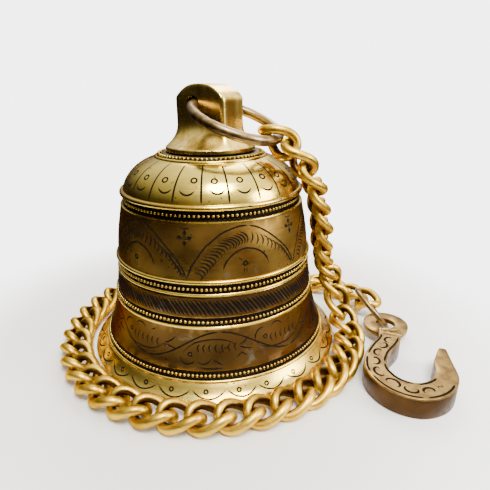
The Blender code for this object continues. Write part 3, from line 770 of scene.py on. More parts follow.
def dome_zone():
    """Gores with a punched ring and a smile in each."""
    zone = Zone(dome_arc(21.52, 34.07, 40), row_gap=1.2, tone=0.06)
    bottom, top = zone.profile[-1][1] + 0.3, zone.profile[0][1] - 0.15
    lines = [-38.1, -22.4, -6.3, 9.1, 27.6, 42.4]
    lines += [42.4 + (360.0 - 80.5) * i / 17 for i in range(1, 17)]
    lines = [wrapped(line) for line in lines]
    rings = [-47.3, -30.8, -11.2, 1.5, 17.6, 34.6, 48.4]
    smiles = [-47.9, -28.6, -14.6, 3.0, 18.8, 34.9, 50.8]
    for a, b in neighbours(lines):
        middle = wrapped((a + b) / 2)
        if abs(middle) > 53:
            rings.append(middle + RNG.uniform(-1.5, 1.5))
            smiles.append(middle + RNG.uniform(-1.5, 1.5))
    for line in lines:
        sway = RNG.uniform(-0.8, 0.8)
        zone.cut([
            (line - sway, top), (line - 0.4 * sway, 74.5), (line, 70.5),
            (line + 0.2 * sway, bottom)], width=0.62, depth=0.2, taper=0.08)
    for theta in rings:
        zone.circle(theta, 72.7 + RNG.uniform(-0.25, 0.25), 0.95, width=0.62, depth=0.24)
    for theta in smiles:
        z = 69.5 + RNG.uniform(-0.3, 0.3)
        zone.cut([
            (theta - 5.0, z + 0.9), (theta - 2.7, z - 0.15), (theta, z - 0.6),
            (theta + 2.6, z - 0.2), (theta + 4.7, z + 0.8)], width=0.66, depth=0.22, step=0.8)
    return zone


OUTER_ARC = [
    (-14.3, 41.95), (-11.8, 46.0), (-8.2, 49.7), (-5.1, 52.4), (-0.7, 54.8), (3.7, 56.9),
    (8.1, 58.0), (13.8, 58.9), (18.5, 58.8), (22.9, 58.1), (27.4, 56.6), (32.0, 54.5),
    (36.9, 51.8), (41.2, 49.0), (44.8, 45.7), (47.5, 41.95)]
INNER_ARC = [
    (4.1, 44.6), (5.2, 47.1), (8.4, 49.5), (12.5, 51.1), (15.8, 51.6), (20.0, 51.2),
    (23.4, 50.2), (26.5, 48.5), (28.2, 46.7), (29.0, 45.2)]
# Feather strokes from valley to valley: outer end, then inner end.
FEATHERS_LEFT = [
    (-10.9, 44.3, -7.9, 42.1), (-6.7, 49.1, -2.3, 46.6), (0.2, 53.1, 4.7, 51.2),
    (3.8, 54.9, 8.3, 52.4), (12.9, 57.2, 16.1, 53.9)]
FEATHERS_RIGHT = [
    (19.9, 57.0, 19.4, 53.6), (27.0, 54.9, 28.3, 51.4), (34.9, 50.7, 37.4, 47.9),
    (40.0, 46.9, 42.0, 44.1), (43.0, 44.1, 44.4, 42.3)]


def between(rows, share):
    """A row part of the way along a list of rows, by the way its outer ends go."""
    steps = [math.hypot(0.65 * (b[0] - a[0]), b[1] - a[1]) for a, b in zip(rows, rows[1:])]
    left = share * sum(steps)
    i = 0
    while i < len(steps) - 1 and left > steps[i]:
        left -= steps[i]
        i += 1
    t = left / steps[i]
    return [a + (b - a) * t for a, b in zip(rows[i], rows[i + 1])]


def upper_waist_zone(profile):
    """Arches of feather strokes with a flower over each valley."""
    zone = Zone(profile, row_gap=2.4, tone=0.85)
    valleys = [-14.3, 47.5, 106.6, 165.8, -133.6, -74.3]
    for a, b in neighbours(valleys):
        stretch = (b - a) / 61.8

        def place(theta, a=a, stretch=stretch):
            return wrapped(a + (theta + 14.3) * stretch)

        def cut(knots, place=place, **kind):
            zone.cut_round([(place(t), z) for t, z in knots], **kind)

        cut(OUTER_ARC[:9], width=0.58, taper=0.05, step=1.4)
        cut(OUTER_ARC[8:], width=0.58, taper=0.05, step=1.4)
        cut(INNER_ARC, width=0.6, taper=0.1, step=1.4)
        for rows, count in ((FEATHERS_LEFT, 17), (FEATHERS_RIGHT, 13)):
            for i in range(count):
                x0, z0, x1, z1 = between(rows, i / (count - 1))
                x1, z1 = x1 + 0.25 * (x1 - x0), z1 + 0.25 * (z1 - z0)
                jolt = RNG.uniform(-0.25, 0.25)
                high = (x0 + 0.62 * (x1 - x0) + 1.0, z0 + 0.36 * (z1 - z0) + 0.45)
                low = (x0 + 0.95 * (x1 - x0) + 1.0, z0 + 0.72 * (z1 - z0) + 0.3)
                cut([(x0 + jolt, z0), high, low, (x1 - 0.4 + jolt, z1)],
                    width=0.55, taper=0.4, step=0.9)
        zone.circle(place(15.6), 46.5, 0.72, width=0.6, depth=0.22)
        cut([(14.8, 45.2), (14.9, 42.9)], width=0.36, step=1.2)
        cut([(16.2, 45.2), (16.1, 42.9)], width=0.36, step=1.2)
        for petal in (
                [(-19.3, 56.1), (-17.6, 55.6), (-16.3, 55.4)],
                [(-14.2, 55.4), (-12.8, 55.5), (-11.2, 56.0)],
                [(-15.2, 58.1), (-15.3, 57.2), (-15.2, 56.2)],
                [(-15.3, 54.8), (-15.2, 53.9), (-15.3, 52.8)]):
            cut(petal, width=1.5, depth=0.24, taper=0.5, step=0.6)
        cut([(-18.2, 59.1), (-16.6, 58.55), (-15.2, 58.45), (-13.6, 58.6), (-12.4, 59.1)],
            width=0.44, step=0.9)
        zone.circle(place(-15.25), 55.5, 0.42, width=0.34, count=8)
    return zone


def hatch_zone(profile):
    """A band of slanting cuts."""
    zone = Zone(profile, row_gap=2.2, tone=1.0, patina=0.18)
    count = 165
    for i in range(count):
        theta = -179.0 + 358.0 * i / count + RNG.uniform(-0.25, 0.25)
        high, low = 34.65 + RNG.uniform(-0.2, 0.1), 29.0 + RNG.uniform(-0.15, 0.2)
        zone.cut(
            [(theta - 3.1, high), (theta, (high + low) / 2), (theta + 3.1, low)],
            width=1.06 + RNG.uniform(-0.1, 0.06), depth=0.28, taper=0.2, step=1.9)
    return zone


def lower_waist_zone(profile):
    """A running wave with a fish in each bend."""
    zone = Zone(profile, row_gap=2.4, tone=0.98)
    for wave in range(5):
        crest = wrapped(1.0 + 72.0 * wave)
        knots = [
            (crest - 36.0 + 4.5 * i, 18.3 - 5.2 * math.cos(2 * math.pi * (4.5 * i) / 72.0))
            for i in range(17)]
        for part in (knots[:9], knots[8:]):
            zone.cut_round(part, width=0.56, taper=0.04, step=1.6)

        def fish(lines, crest=crest):
            for line in lines:
                zone.cut_round(
                    [(crest - 1.0 + t, z) for t, z in line], width=0.54, taper=0.35, step=1.1)

        fish([
            [(-17.8, 15.0), (-16.9, 13.3), (-14.6, 12.4), (-12.2, 12.8), (-10.2, 13.9)],
            [(-9.4, 13.5), (-7.3, 12.6), (-4.6, 13.1), (-2.8, 14.7)],
            [(-2.6, 14.2), (-0.5, 13.2), (2.9, 11.9)],
            [(-8.3, 11.7), (-3.9, 11.2), (2.8, 11.3)],
            [(8.4, 13.9), (11.2, 15.6), (14.0, 14.2)],
            [(-16.8, 15.8), (-13.5, 18.3), (-9.5, 20.0), (-3.0, 20.9), (4.0, 20.4), (10.0, 18.2)],
            [(10.0, 18.2), (13.6, 19.6), (15.4, 21.0)], [(10.0, 18.0), (13.6, 16.9), (16.6, 16.5)]])
        fish([[(t, 19.4), (t - 1.1, 18.0), (t - 0.2, 16.3)]
              for t in (-8.4, -5.9, -3.1, -0.2, 3.0, 6.0, 8.9)])
        fish([
            [(18.5, 18.5), (18.7, 20.7), (21.0, 22.5), (24.4, 22.6)],
            [(27.6, 22.1), (29.7, 23.2), (32.6, 23.0), (34.4, 21.8)],
            [(37.7, 21.6), (39.5, 22.3), (41.0, 22.9)],
            [(18.9, 17.6), (22.5, 15.9), (28.0, 15.0), (35.0, 14.9), (41.0, 15.8), (46.4, 18.4)],
            [(46.4, 18.4), (50.0, 20.0), (52.0, 21.6)], [(46.4, 18.2), (50.4, 17.4), (53.2, 17.0)]])
        fish([[(t, 19.8), (t - 1.1, 18.4), (t - 0.2, 16.7)]
              for t in (27.8, 30.6, 33.6, 36.8, 39.7, 42.9)])
        for theta, z in ((-12.9, 15.7), (23.9, 19.2)):
            zone.circle(wrapped(crest - 1.0 + theta), z, 0.66, width=0.5)
    return zone


def flare_zone(profile):
    """Scallops with a punched ring in each."""
    zone = Zone(profile, row_gap=1.6, tone=0.3)
    cusps = [-41.1, -26.3, -11.4, 3.1, 16.1, 29.6, 43.6, 56.5]
    cusps += [56.5 + (360.0 - 97.6) * i / 19 for i in range(1, 19)]
    rings = [-46.7, -31.9, -19.8, -5.3, 8.2, 20.2, 34.2, 47.4]
    for a, b in neighbours(wrapped(cusp) for cusp in cusps):
        if b > 179:
            continue
        span = b - a
        zone.cut([
            (a + 0.2, 5.25), (a + 0.12 * span, 4.3), (a + 0.3 * span, 3.5), (a + 0.5 * span, 3.2),
            (a + 0.7 * span, 3.45), (a + 0.88 * span, 4.25), (b - 0.2, 5.2)],
            width=0.58, depth=0.2, taper=0.12, step=1.3)
        middle = (a + b) / 2
        if not -50 < middle < 54:
            rings.append(middle + RNG.uniform(-1.0, 1.0))
    for theta in rings:
        zone.circle(theta, 4.75, 0.66, width=0.56, depth=0.2)
    return zone


def bell_sections():
    """The bell's outline from the crown's hole round to it again: plain lists of
    (radius, height, patina) and engraved zones, each starting where the last one ends."""
    waist = fine_line([(35.42, 59.85), (35.6, 58.8), (37.3, 50.0), (38.2, 42.0), (38.27, 41.5)], 1.0)
    low_waist = fine_line([
        (40.55, 24.4), (40.62, 24.0), (41.6, 19.0), (43.0, 14.0), (44.3, 10.9), (44.45, 10.6)], 0.8)
    hatch = [(38.9 + 0.85 * i / 12, 35.05 - 6.5 * i / 12) for i in range(13)]
    flare = fine_line([
        (46.2, 6.7), (46.5, 6.4), (46.9, 6.0), (48.5, 4.1), (50.2, 2.9), (50.9, 2.35)], 0.3)
    dome, upper = dome_zone(), upper_waist_zone(waist)
    hatched, lower, rim = hatch_zone(hatch), lower_waist_zone(low_waist), flare_zone(flare)

    def flat(points, patina):
        return [(r, z, patina) for r, z in points]

    crown = [(4.3, 78.6, 0.3), (17.2, 78.6, 0.8), (18.4, 78.6, 0.5), (18.75, 78.4, 0.5),
             (18.95, 78.0, 0.9), (19.2, 77.6, 1.0), (20.1, 77.4, 1.0), (20.4, 77.45, 0.8)]
    crown += flat(arc(20.9, 77.15, 0.62, 130, 0, 8), 0.0) + [(*dome.profile[0], 0.15)]
    shoulder = [(*dome.profile[-1], 0.1)] + flat(arc(34.4, 64.9, 0.97, 100, -62, 12), 0.0)
    shoulder += [(34.7, 64.0, 0.7), (34.0, 63.85, 1.0), (33.45, 63.5, 1.0), (33.45, 60.95, 1.0),
                 (33.7, 60.75, 1.0), (34.6, 60.72, 0.6), (34.95, 60.7, 0.0), (35.3, 60.5, 0.0),
                 (35.42, 60.2, 0.0), (*waist[0], 0.0)]
    second = [(*waist[-1], 0.5)] + flat(arc(38.25, 40.7, 0.8, 78, -78, 12), 0.0)
    second += [(38.1, 39.8, 0.8), (37.9, 39.7, 1.0), (37.5, 39.4, 1.0), (37.55, 37.0, 1.0),
               (37.8, 36.85, 1.0), (38.2, 36.8, 0.6)]
    second += flat(arc(38.35, 36.25, 0.55, 72, -60, 8), 0.0)
    second += [(38.5, 35.7, 0.3), (38.6, 35.5, 0.0), (38.62, 35.4, 0.2), (38.35, 35.28, 1.0),
               (38.5, 35.12, 0.8), (*hatch[0], 0.1)]
    third = [(*hatch[-1], 0.1), (39.72, 28.4, 0.3), (39.4, 28.2, 1.0), (39.1, 27.95, 1.0),
             (39.3, 25.6, 1.0), (39.5, 25.45, 1.0), (40.0, 25.4, 0.6), (40.35, 25.35, 0.0),
             (40.58, 25.1, 0.0), (40.6, 24.75, 0.0), (*low_waist[0], 0.1)]
    fourth = [(*low_waist[-1], 0.2), (44.45, 10.5, 0.5), (44.1, 10.2, 1.0), (44.6, 7.85, 1.0),
              (44.8, 7.7, 1.0), (45.3, 7.65, 0.7)] + flat(arc(45.75, 7.15, 0.6, 112, -38, 8), 0.0)
    fourth += [(*flare[0], 0.5)]
    lip = [(*flare[-1], 0.0), (51.0, 2.1, 0.0), (51.0, 0.7, 0.1), (50.8, 0.2, 0.2),
           (50.4, 0.0, 0.3), (48.6, 0.0, 0.4)]
    inside = [(48.6, 0.0), (47.0, 0.0), (46.6, 0.3)] + fine_line([
        (46.3, 0.7), (44.6, 3.0), (42.2, 9.0), (39.6, 16.0), (37.4, 26.0), (35.4, 41.0),
        (32.6, 60.0)], 4.0) + [
        (16.6 + 15.1 * math.sin(a), 62.6 + 12.2 * math.cos(a))
        for a in (math.radians(d) for d in range(78, 20, -6))]
    inside += [(18.6, 75.4), (12.0, 75.4), (4.3, 75.4), (4.3, 78.6)]
    return [crown, dome, shoulder, upper, second, hatched, third, lower, fourth, rim, lip,
            flat(inside, 0.0)]


def build_bell(wall, groove, inner):
    """One closed skin; cut faces take the dark material and the inside takes the cast one."""
    points, faces, slots, patina, tone, normals = [], [], [], [], [], []
    sections = bell_sections()
    for number, section in enumerate(sections):
        base = len(points)
        if isinstance(section, Zone):
            made, triangles, cut, smooth = section.build()
            points.extend(made)
            normals.extend(smooth)
            patina += [section.patina] * len(made)
            tone += [section.tone] * len(made)
            faces += [tuple(base + i for i in face) for face in triangles]
            slots += [1 if c else 0 for c in cut]
            continue
        ends = {}
        for at, near in ((0, number - 1), (len(section) - 1, number + 1)):
            if 0 <= near < len(sections) and isinstance(sections[near], Zone):
                ends[at] = sections[near]
        for row, (r, z, dark) in enumerate(section):
            age = 0.1
            if row in ends:
                dark, age = ends[row].patina, ends[row].tone
            for c in range(COLUMNS):
                a = math.radians(2.0 * c - 180.0)
                points.append((r * math.sin(a), -r * math.cos(a), z))
                normals.append((0.0, 0.0, 0.0))
                patina.append(dark)
                tone.append(age)
        for row in range(len(section) - 1):
            for c in range(COLUMNS):
                d = (c + 1) % COLUMNS
                low = base + row * COLUMNS
                faces.append((low + c, low + COLUMNS + c, low + COLUMNS + d, low + d))
                slots.append(2 if number == len(sections) - 1 else 0)
    bm = bmesh.new()
    wanted = bm.verts.layers.float_vector.new("wanted")
    dark_layer = bm.verts.layers.float.new("patina")
    tone_layer = bm.verts.layers.float.new("tone")
    verts = []
    for p, n, dark, age in zip(points, normals, patina, tone):
        v = bm.verts.new([c * MM for c in p])
        v[wanted], v[dark_layer], v[tone_layer] = Vector(n), dark, age
        verts.append(v)
    for face, slot_number in zip(faces, slots):
        made = bm.faces.new([verts[i] for i in face])
        made.material_index, made.smooth = slot_number, True
    bmesh.ops.remove_doubles(bm, verts=bm.verts[:], dist=2e-6)
    bmesh.ops.dissolve_degenerate(bm, dist=1e-7, edges=bm.edges[:])
    bmesh.ops.recalc_face_normals(bm, faces=bm.faces[:])
    for edge in bm.edges:
        if len(edge.link_faces) != 2:
            continue
        a, b = edge.link_faces
        cut_pair = (a.material_index == 1) + (b.material_index == 1)
        limit = 34.0 if cut_pair == 0 else 8.0
        if cut_pair == 1 or edge.calc_face_angle(0.0) > math.radians(limit):
            edge.smooth = False
    mesh = bpy.data.meshes.new("bell_wall")
    bm.to_mesh(mesh)
    bm.free()
    for material in (wall, groove, inner):
        mesh.materials.append(material)
    layer = mesh.attributes["wanted"]
    smooth = np.zeros(len(mesh.vertices) * 3)
    layer.data.foreach_get("vector", smooth)
    smooth = smooth.reshape(-1, 3)
    corner = np.zeros(len(mesh.loops), int)
    mesh.loops.foreach_get("vertex_index", corner)
    counts = np.zeros(len(mesh.polygons), int)
    mesh.polygons.foreach_get("loop_total", counts)
    kinds = np.zeros(len(mesh.polygons), int)
    mesh.polygons.foreach_get("material_index", kinds)
    keep = smooth[corner]
    keep[np.repeat(kinds, counts) != 0] = 0.0
    keep[np.repeat(counts, counts) != 3] = 0.0
    mesh.normals_split_custom_set([tuple(n) for n in keep])
    mesh.attributes.remove(mesh.attributes["wanted"])
    bell = bpy.data.objects.new("bell_wall", mesh)
    bpy.context.scene.collection.objects.link(bell)
    fit(bell, "bell", "engraved_brass", "bell_body")


BEAD_ROWS = [
    # count, radius of the row, height, bead radius
    (77, 19.75, 78.15, 0.58), (137, 34.0, 62.2, 0.58), (154, 38.15, 38.15, 0.58),
    (163, 39.95, 26.75, 0.60), (191, 44.95, 8.95, 0.60)]


def build_beads(material):
    """Rows of small beads in the dark channels."""
    for number, (count, r, z, size) in enumerate(BEAD_ROWS, start=1):
        points, faces = [], []
        for a in round_angles(count):
            centre = Vector((r * math.sin(a), -r * math.cos(a), z))
            base = len(points)
            points.append(centre + Vector((0, 0, size)))
            for ring in range(1, 5):
                tilt = math.pi * ring / 5
                for turn in round_angles(8):
                    points.append(centre + size * Vector((
                        math.sin(tilt) * math.cos(turn), math.sin(tilt) * math.sin(turn),
                        math.cos(tilt))))
            points.append(centre - Vector((0, 0, size)))
            for s in range(8):
                t = (s + 1) % 8
                faces.append((base, base + 1 + s, base + 1 + t))
                for ring in range(3):
                    low = base + 1 + 8 * ring
                    faces.append((low + s, low + 8 + s, low + 8 + t, low + t))
                faces.append((base + 25 + s, base + 33, base + 25 + t))
        worn = {"tone": [0.55] * len(points), "patina": [0.3] * len(points)}
        piece = add_piece(f"bead_row_{number}", points, faces, [material], sharp=180, attributes=worn)
        fit(piece, "bell", "engraved_brass")


# ---------------------------------------------------------------- lug and rings
LUG_YAW = math.radians(38)
LUG_FACE = Vector((-math.sin(LUG_YAW), -math.cos(LUG_YAW), 0.0))
LUG_ACROSS = Vector((math.cos(LUG_YAW), -math.sin(LUG_YAW), 0.0))
UP = Vector((0, 0, 1))
LUG_HOLE = Vector((0, 0, 95.7)) - 2.5 * LUG_ACROSS
DROOP = math.radians(22)
RING_DROOP = LUG_ACROSS * math.cos(DROOP) - UP * math.sin(DROOP)


def box_radius(angle, half_w, half_t, corner):
    """Distance from the centre to a rounded rectangle's edge."""
    c, s = abs(math.cos(angle)), abs(math.sin(angle))
    straight = min(half_w / max(c, 1e-9), half_t / max(s, 1e-9))
    if straight * c <= half_w - corner or straight * s <= half_t - corner:
        return straight
    cx, cy = half_w - corner, half_t - corner
    along = cx * c + cy * s
    return along + math.sqrt(max(corner * corner - (cx * cx + cy * cy - along * along), 0.0))


def lug_angles():
    """Directions round the lug, close together at its corners."""
    corner = math.atan2(13.0, 22.2)
    quarter = list(np.linspace(0.0, corner - 0.12, 8)) + list(
        np.linspace(corner - 0.09, corner + 0.14, 9)) + list(
        np.linspace(corner + 0.19, math.pi / 2, 9))[:-1]
    half = quarter + [math.pi / 2] + [math.pi - a for a in reversed(quarter[1:])]
    return half + [a + math.pi for a in half]


def build_lug(brass):
    """The arched slab on its concave-sided foot, with the stud under it."""
    angles = lug_angles()

    def level(height, spread, inset=0.0):
        ring = []
        for angle in angles:
            slab = box_radius(angle, 11.1 - inset, 6.5 - inset, 1.3 - min(inset, 0.9))
            radius = slab + (17.0 - slab) * spread
            x = radius * math.cos(angle)
            offset = LUG_ACROSS * x - LUG_FACE * (radius * math.sin(angle))
            ring.append(Vector((offset.x, offset.y, height(x))))
        return ring

    def flat(z):
        return lambda x: z

    def arch(drop):
        return lambda x: 97.4 - drop + 5.0 * (1.0 - min(1.0, abs(x) / 11.1) ** 2.5)

    def disc(radius, z):
        return [
            Vector((0, 0, z)) + radius * (LUG_ACROSS * math.cos(a) - LUG_FACE * math.sin(a))
            for a in angles]

    rings = [disc(3.4, 71.0), disc(4.0, 71.6), disc(4.0, 78.9), disc(16.7, 78.9), disc(17.0, 79.15)]
    patina = [0.4, 0.4, 0.4, 0.9, 0.8]
    rings += [disc(17.0, 79.6), disc(16.95, 80.4), disc(16.75, 80.7)]
    patina += [0.35, 0.0, 0.0]
    for i in range(1, 15):
        t = i / 14
        rings.append(level(flat(80.7 + 9.0 * t), 0.985 * (1 - t) ** 2.6))
        patina.append(0.0)
    for drop, inset in ((1.4, 0.0), (0.55, 0.0), (0.2, 0.12), (0.0, 0.38)):
        rings.append(level(arch(drop), 0.0, inset))
        patina.append(0.12 if drop > 1 else 0.0)
    points = joined(rings)
    dark = [d for d in patina for _ in angles]
    faces = skin(rings)[:-1]
    count, last = len(angles), (len(rings) - 1) * len(angles)
    for i in range(count // 2):
        corners = [i, i + 1, count - i - 1, (count - i) % count]
        corners = list(dict.fromkeys(last + c for c in corners))
        if len(corners) > 2:
            faces.append(tuple(corners))
    lug = add_piece("crown_lug_slab", points, faces, [brass], attributes={"patina": dark}, sharp=30)
    recalculate(lug)
    bm = bmesh.new()
    turn = LUG_FACE.to_track_quat("Z", "Y").to_matrix().to_4x4()
    bmesh.ops.create_cone(
        bm, cap_ends=True, segments=40, radius1=2.75 * MM, radius2=2.75 * MM, depth=30 * MM,
        matrix=Matrix.Translation(LUG_HOLE * MM) @ turn)
    cutter_mesh = bpy.data.meshes.new("lug_drill")
    bm.to_mesh(cutter_mesh)
    bm.free()
    cutter = bpy.data.objects.new("lug_drill", cutter_mesh)
    bpy.context.scene.collection.objects.link(cutter)
    drill = lug.modifiers.new("hole", "BOOLEAN")
    drill.object, drill.operation, drill.solver = cutter, "DIFFERENCE", "EXACT"
    graph = bpy.context.evaluated_depsgraph_get()
    cut = bpy.data.meshes.new_from_object(lug.evaluated_get(graph))
    lug.modifiers.clear()
    lug.data = cut
    bpy.data.objects.remove(cutter)
    cut.shade_smooth()
    cut.set_sharp_from_angle(angle=math.radians(30))
    fit(lug, "bell", "engraved_brass", "crown_lug")


def build_ring(name, body, node, centre, axis_a, axis_b, radius, wire, material):
    """A ring of round wire whose butted ends leave a fine seam."""
    count = 120
    line = circle_line(centre, axis_a, axis_b, radius, count)
    rings, _ = wire_rings(line, wire, 24)
    for at, share in ((0, 0.90), (1, 1.0), (count - 1, 1.0)):
        rings[at] = [line[at] + (p - line[at]) * share for p in rings[at]]
    piece = add_skin(name, rings, [material], closed=True)
    fit(piece, body, "ring_bronze", node)
    return piece


# ---------------------------------------------------------------- hook
HOOK_LINE = [
    (70.8, -19.6, 4.4), (70.0, -22.2, 4.4), (67.2, -27.6, 4.1), (61.4, -33.4, 4.0), (57.2, -39.8, 4.1),
    (56.0, -46.6, 4.2), (59.0, -53.4, 4.3), (65.6, -57.2, 4.3), (73.0, -55.8, 4.1),
    (78.4, -50.4, 3.8), (81.0, -43.4, 3.3), (85.2, -35.0, 1.2)]
HOOK_TOP = 8.0
HOOK_EYE = (72.8, -11.7)


def hook_middle(steps=8):
    """The hook's middle line with its half width, as in the CAD but finer."""
    middle = [(Vector((x, y)), w) for x, y, w in HOOK_LINE]
    padded = [middle[0]] + middle + [middle[-1]]
    fine = []
    for (p0, _), (p1, w1), (p2, w2), (p3, _) in zip(padded, padded[1:], padded[2:], padded[3:]):
        for i in range(steps):
            t = i / steps
            fine.append((catmull_rom(p0, p1, p2, p3, t), w1 + (w2 - w1) * t))
    fine.append(middle[-1])
    return fine


def leftwards(ahead):
    """The flat direction a quarter turn to the left."""
    return Vector((-ahead.y, ahead.x))


def hook_offset(line, inset, ends=0.0):
    """The hook's outline moved inwards, as one closed loop of points."""
    left, right = [], []
    for i, (point, width) in enumerate(line):
        ahead = (line[min(i + 1, len(line) - 1)][0] - line[max(i - 1, 0)][0]).normalized()
        normal = leftwards(ahead)
        if i == 0:
            point = point + ahead * ends
        if i == len(line) - 1:
            point = point - ahead * ends
        left.append(point + normal * max(width - inset, 0.3))
        right.append(point - normal * max(width - inset, 0.3))
    return left + right[::-1]


def path_frame(line, distance):
    """The point, direction and width at a distance along the hook's middle line."""
    for (a, wa), (b, wb) in zip(line, line[1:]):
        step = (b - a).length
        if distance <= step:
            t = distance / max(step, 1e-9)
            return a.lerp(b, t), (b - a).normalized(), wa + (wb - wa) * t
        distance -= step
    return line[-1][0], (line[-1][0] - line[-2][0]).normalized(), line[-1][1]


def hook_strokes(line):
    """Two border lines and a row of curls that open in and out by turns."""
    total = sum((b[0] - a[0]).length for a, b in zip(line, line[1:]))
    strokes = []

    def at(distance, across):
        point, ahead, _ = path_frame(line, distance)
        side = leftwards(ahead)
        return tuple(point + side * across)

    for side, parts in ((1, ((5.6, 25.0), (26.0, 45.0), (46.0, 58.5))),
                        (-1, ((5.6, 22.0), (23.2, 31.0), (32.0, 47.0), (47.8, 58.5)))):
        for first, last in parts:
            last = min(last, total - 4.2)
            count = max(3, int((last - first) / 2.2))
            knots = []
            for i in range(count + 1):
                d = first + (last - first) * i / count
                width = path_frame(line, d)[2]
                knots.append(at(d, side * (width - 1.0 - 0.1 * RNG.random())))
            strokes.append(Stroke(knots, width=0.85, depth=0.26, taper=0.1, step=1.2))
    strokes.append(Stroke([at(5.4, -3.0), at(5.2, 0.0), at(5.4, 3.0)], width=0.5, depth=0.2))
    curls = [(9.2, 1, 1.7), (14.0, -1, 1.75), (19.4, 1, 1.9), (25.3, -1, 1.8), (31.3, 1, 2.1),
             (38.0, -1, 2.15), (44.0, 1, 1.95), (49.6, -1, 1.7)]
    for distance, side, size in curls:
        point, ahead, _ = path_frame(line, distance)
        across = leftwards(ahead) * side
        knots = []
        for i in range(11):
            a = math.radians(-128 + 256 * i / 10)
            pull = 1.0 - 0.28 * abs(i - 5) / 5 * (1 if i in (0, 10) else 0.0)
            knots.append(tuple(
                point + across * (0.15 - size * 0.86 * math.cos(a) * pull)
                + ahead * (size * 1.12 * math.sin(a) * pull)))
        strokes.append(Stroke(knots, width=0.95, depth=0.28, taper=0.22, step=0.9))
    strokes.append(Stroke([at(53.2, -0.9), at(53.9, 0.6), at(54.9, -0.5), at(55.8, 0.6)],
                          width=0.42, depth=0.18, step=0.8))
    strokes.append(Stroke([at(22.3, 0.9), at(22.9, -0.2), at(23.1, -1.2)], width=0.4, depth=0.18))
    return strokes


def build_hook(face_metal, groove, shaded_side_metal):
    """A flat strip with an engraved face and a lipped collar, and its thinner round eye."""
    line = hook_middle()
    outer, mid, inner = (hook_offset(line, i, e) for i, e in ((0.0, 0.0), (0.18, 0.15), (0.5, 0.4)))
    levels = [(inner, 0.0), (mid, 0.15), (outer, 0.5), (outer, HOOK_TOP - 0.55),
              (mid, HOOK_TOP - 0.17), (inner, HOOK_TOP)]
    rings = [[Vector((p.x, p.y, z)) for p in loop] for loop, z in levels]
    points, faces = joined(rings), skin(rings)[:-1]
    count = len(outer)
    # The edge and underside take the dark brown material, which is painted shade.
    slots = []
    for a in range(len(rings) - 1):
        slots += [2 if a < 3 else 0] * count
    slots.append(2)
    strokes = hook_strokes(line)
    border = [tuple(p) for p in inner]
    loop_edges = [(i, (i + 1) % count) for i in range(count)]
    grid = []
    for i, (point, width) in enumerate(line[2:-3:4]):
        ahead = (line[4 * i + 3][0] - line[4 * i + 1][0]).normalized()
        side = leftwards(ahead)
        grid += [tuple(point + side * s * (width - 0.5) * 0.5) for s in (-1, 0, 1)]
    flat, depth, triangles, cut = cut_sheet(border, loop_edges, grid, strokes, inside_only=True)
    base = len(points)
    points += [Vector((p[0], p[1], HOOK_TOP - d)) for p, d in zip(flat, depth)]
    faces += [tuple(base + i for i in face) for face in triangles]
    slots += [1 if c else 0 for c in cut]
    hook = add_piece(
        "flat_hook", points, faces, [face_metal, groove, shaded_side_metal], slots, sharp=28)
    bm = bmesh.new()
    bm.from_mesh(hook.data)
    bmesh.ops.remove_doubles(bm, verts=bm.verts[:], dist=2e-6)
    bmesh.ops.recalc_face_normals(bm, faces=bm.faces[:])
    for edge in bm.edges:
        if len(edge.link_faces) == 2:
            a, b = edge.link_faces
            if (a.material_index == 1) != (b.material_index == 1):
                edge.smooth = False
    bm.to_mesh(hook.data)
    bm.free()
    # The round eye: a turned washer with finely rounded edges, let into the strip.
    washer = [(3.9, 3.5), (4.1, 3.2), (8.9, 3.2), (9.1, 3.3), (9.2, 3.55), (9.2, 5.05), (9.1, 5.3),
              (8.9, 5.4), (4.3, 5.4), (4.0, 5.3), (3.9, 5.1)]
    made, eye_faces = turned(washer, 96)
    eye = add_piece(
        "hook_eye", [(x + HOOK_EYE[0], y + HOOK_EYE[1], z) for x, y, z in made], eye_faces,
        [face_metal], sharp=40)
    recalculate(eye)
    # Two raised lips across the collar and the beads between them.
    collar_points, collar_faces = [], []
    for distance in (0.75, 4.1):
        point, ahead, width = path_frame(line, distance)
        side = leftwards(ahead)
        lip = []
        for s in np.linspace(-1.0, 1.0, 13):
            base_point = point + side * (width - 0.1) * s
            drop = 0.25 * abs(s) ** 6
            ring = []
            for a in round_angles(10):
                offset = ahead * (0.52 * math.cos(a))
                ring.append(Vector((
                    base_point.x + offset.x, base_point.y + offset.y,
                    HOOK_TOP - 0.12 - drop + 0.42 * math.sin(a))))
            lip.append(ring)
        collar_faces += skin(lip, offset=len(collar_points))
        collar_points += joined(lip)
    for s in np.linspace(-0.8, 0.8, 8):
        point, ahead, width = path_frame(line, 2.35 + 0.2 * math.sin(9 * s))
        side = leftwards(ahead)
        centre = point + side * (width - 0.3) * s
        bead = []
        for ring in range(1, 6):
            tilt = math.pi * ring / 6
            bead.append([Vector((
                centre.x + 0.42 * math.sin(tilt) * math.cos(t),
                centre.y + 0.42 * math.sin(tilt) * math.sin(t),
                HOOK_TOP + 0.05 - 0.42 * math.cos(tilt)))
                for t in round_angles(8)])
        collar_faces += skin(bead, offset=len(collar_points))
        collar_points += joined(bead)
    collar = add_piece("hook_collar", collar_points, collar_faces, [face_metal], sharp=50)
    recalculate(collar)
    for piece in (hook, eye, collar):
        fit(piece, "hook", "engraved_brass")
    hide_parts("hook")
    return [hook, eye, collar]


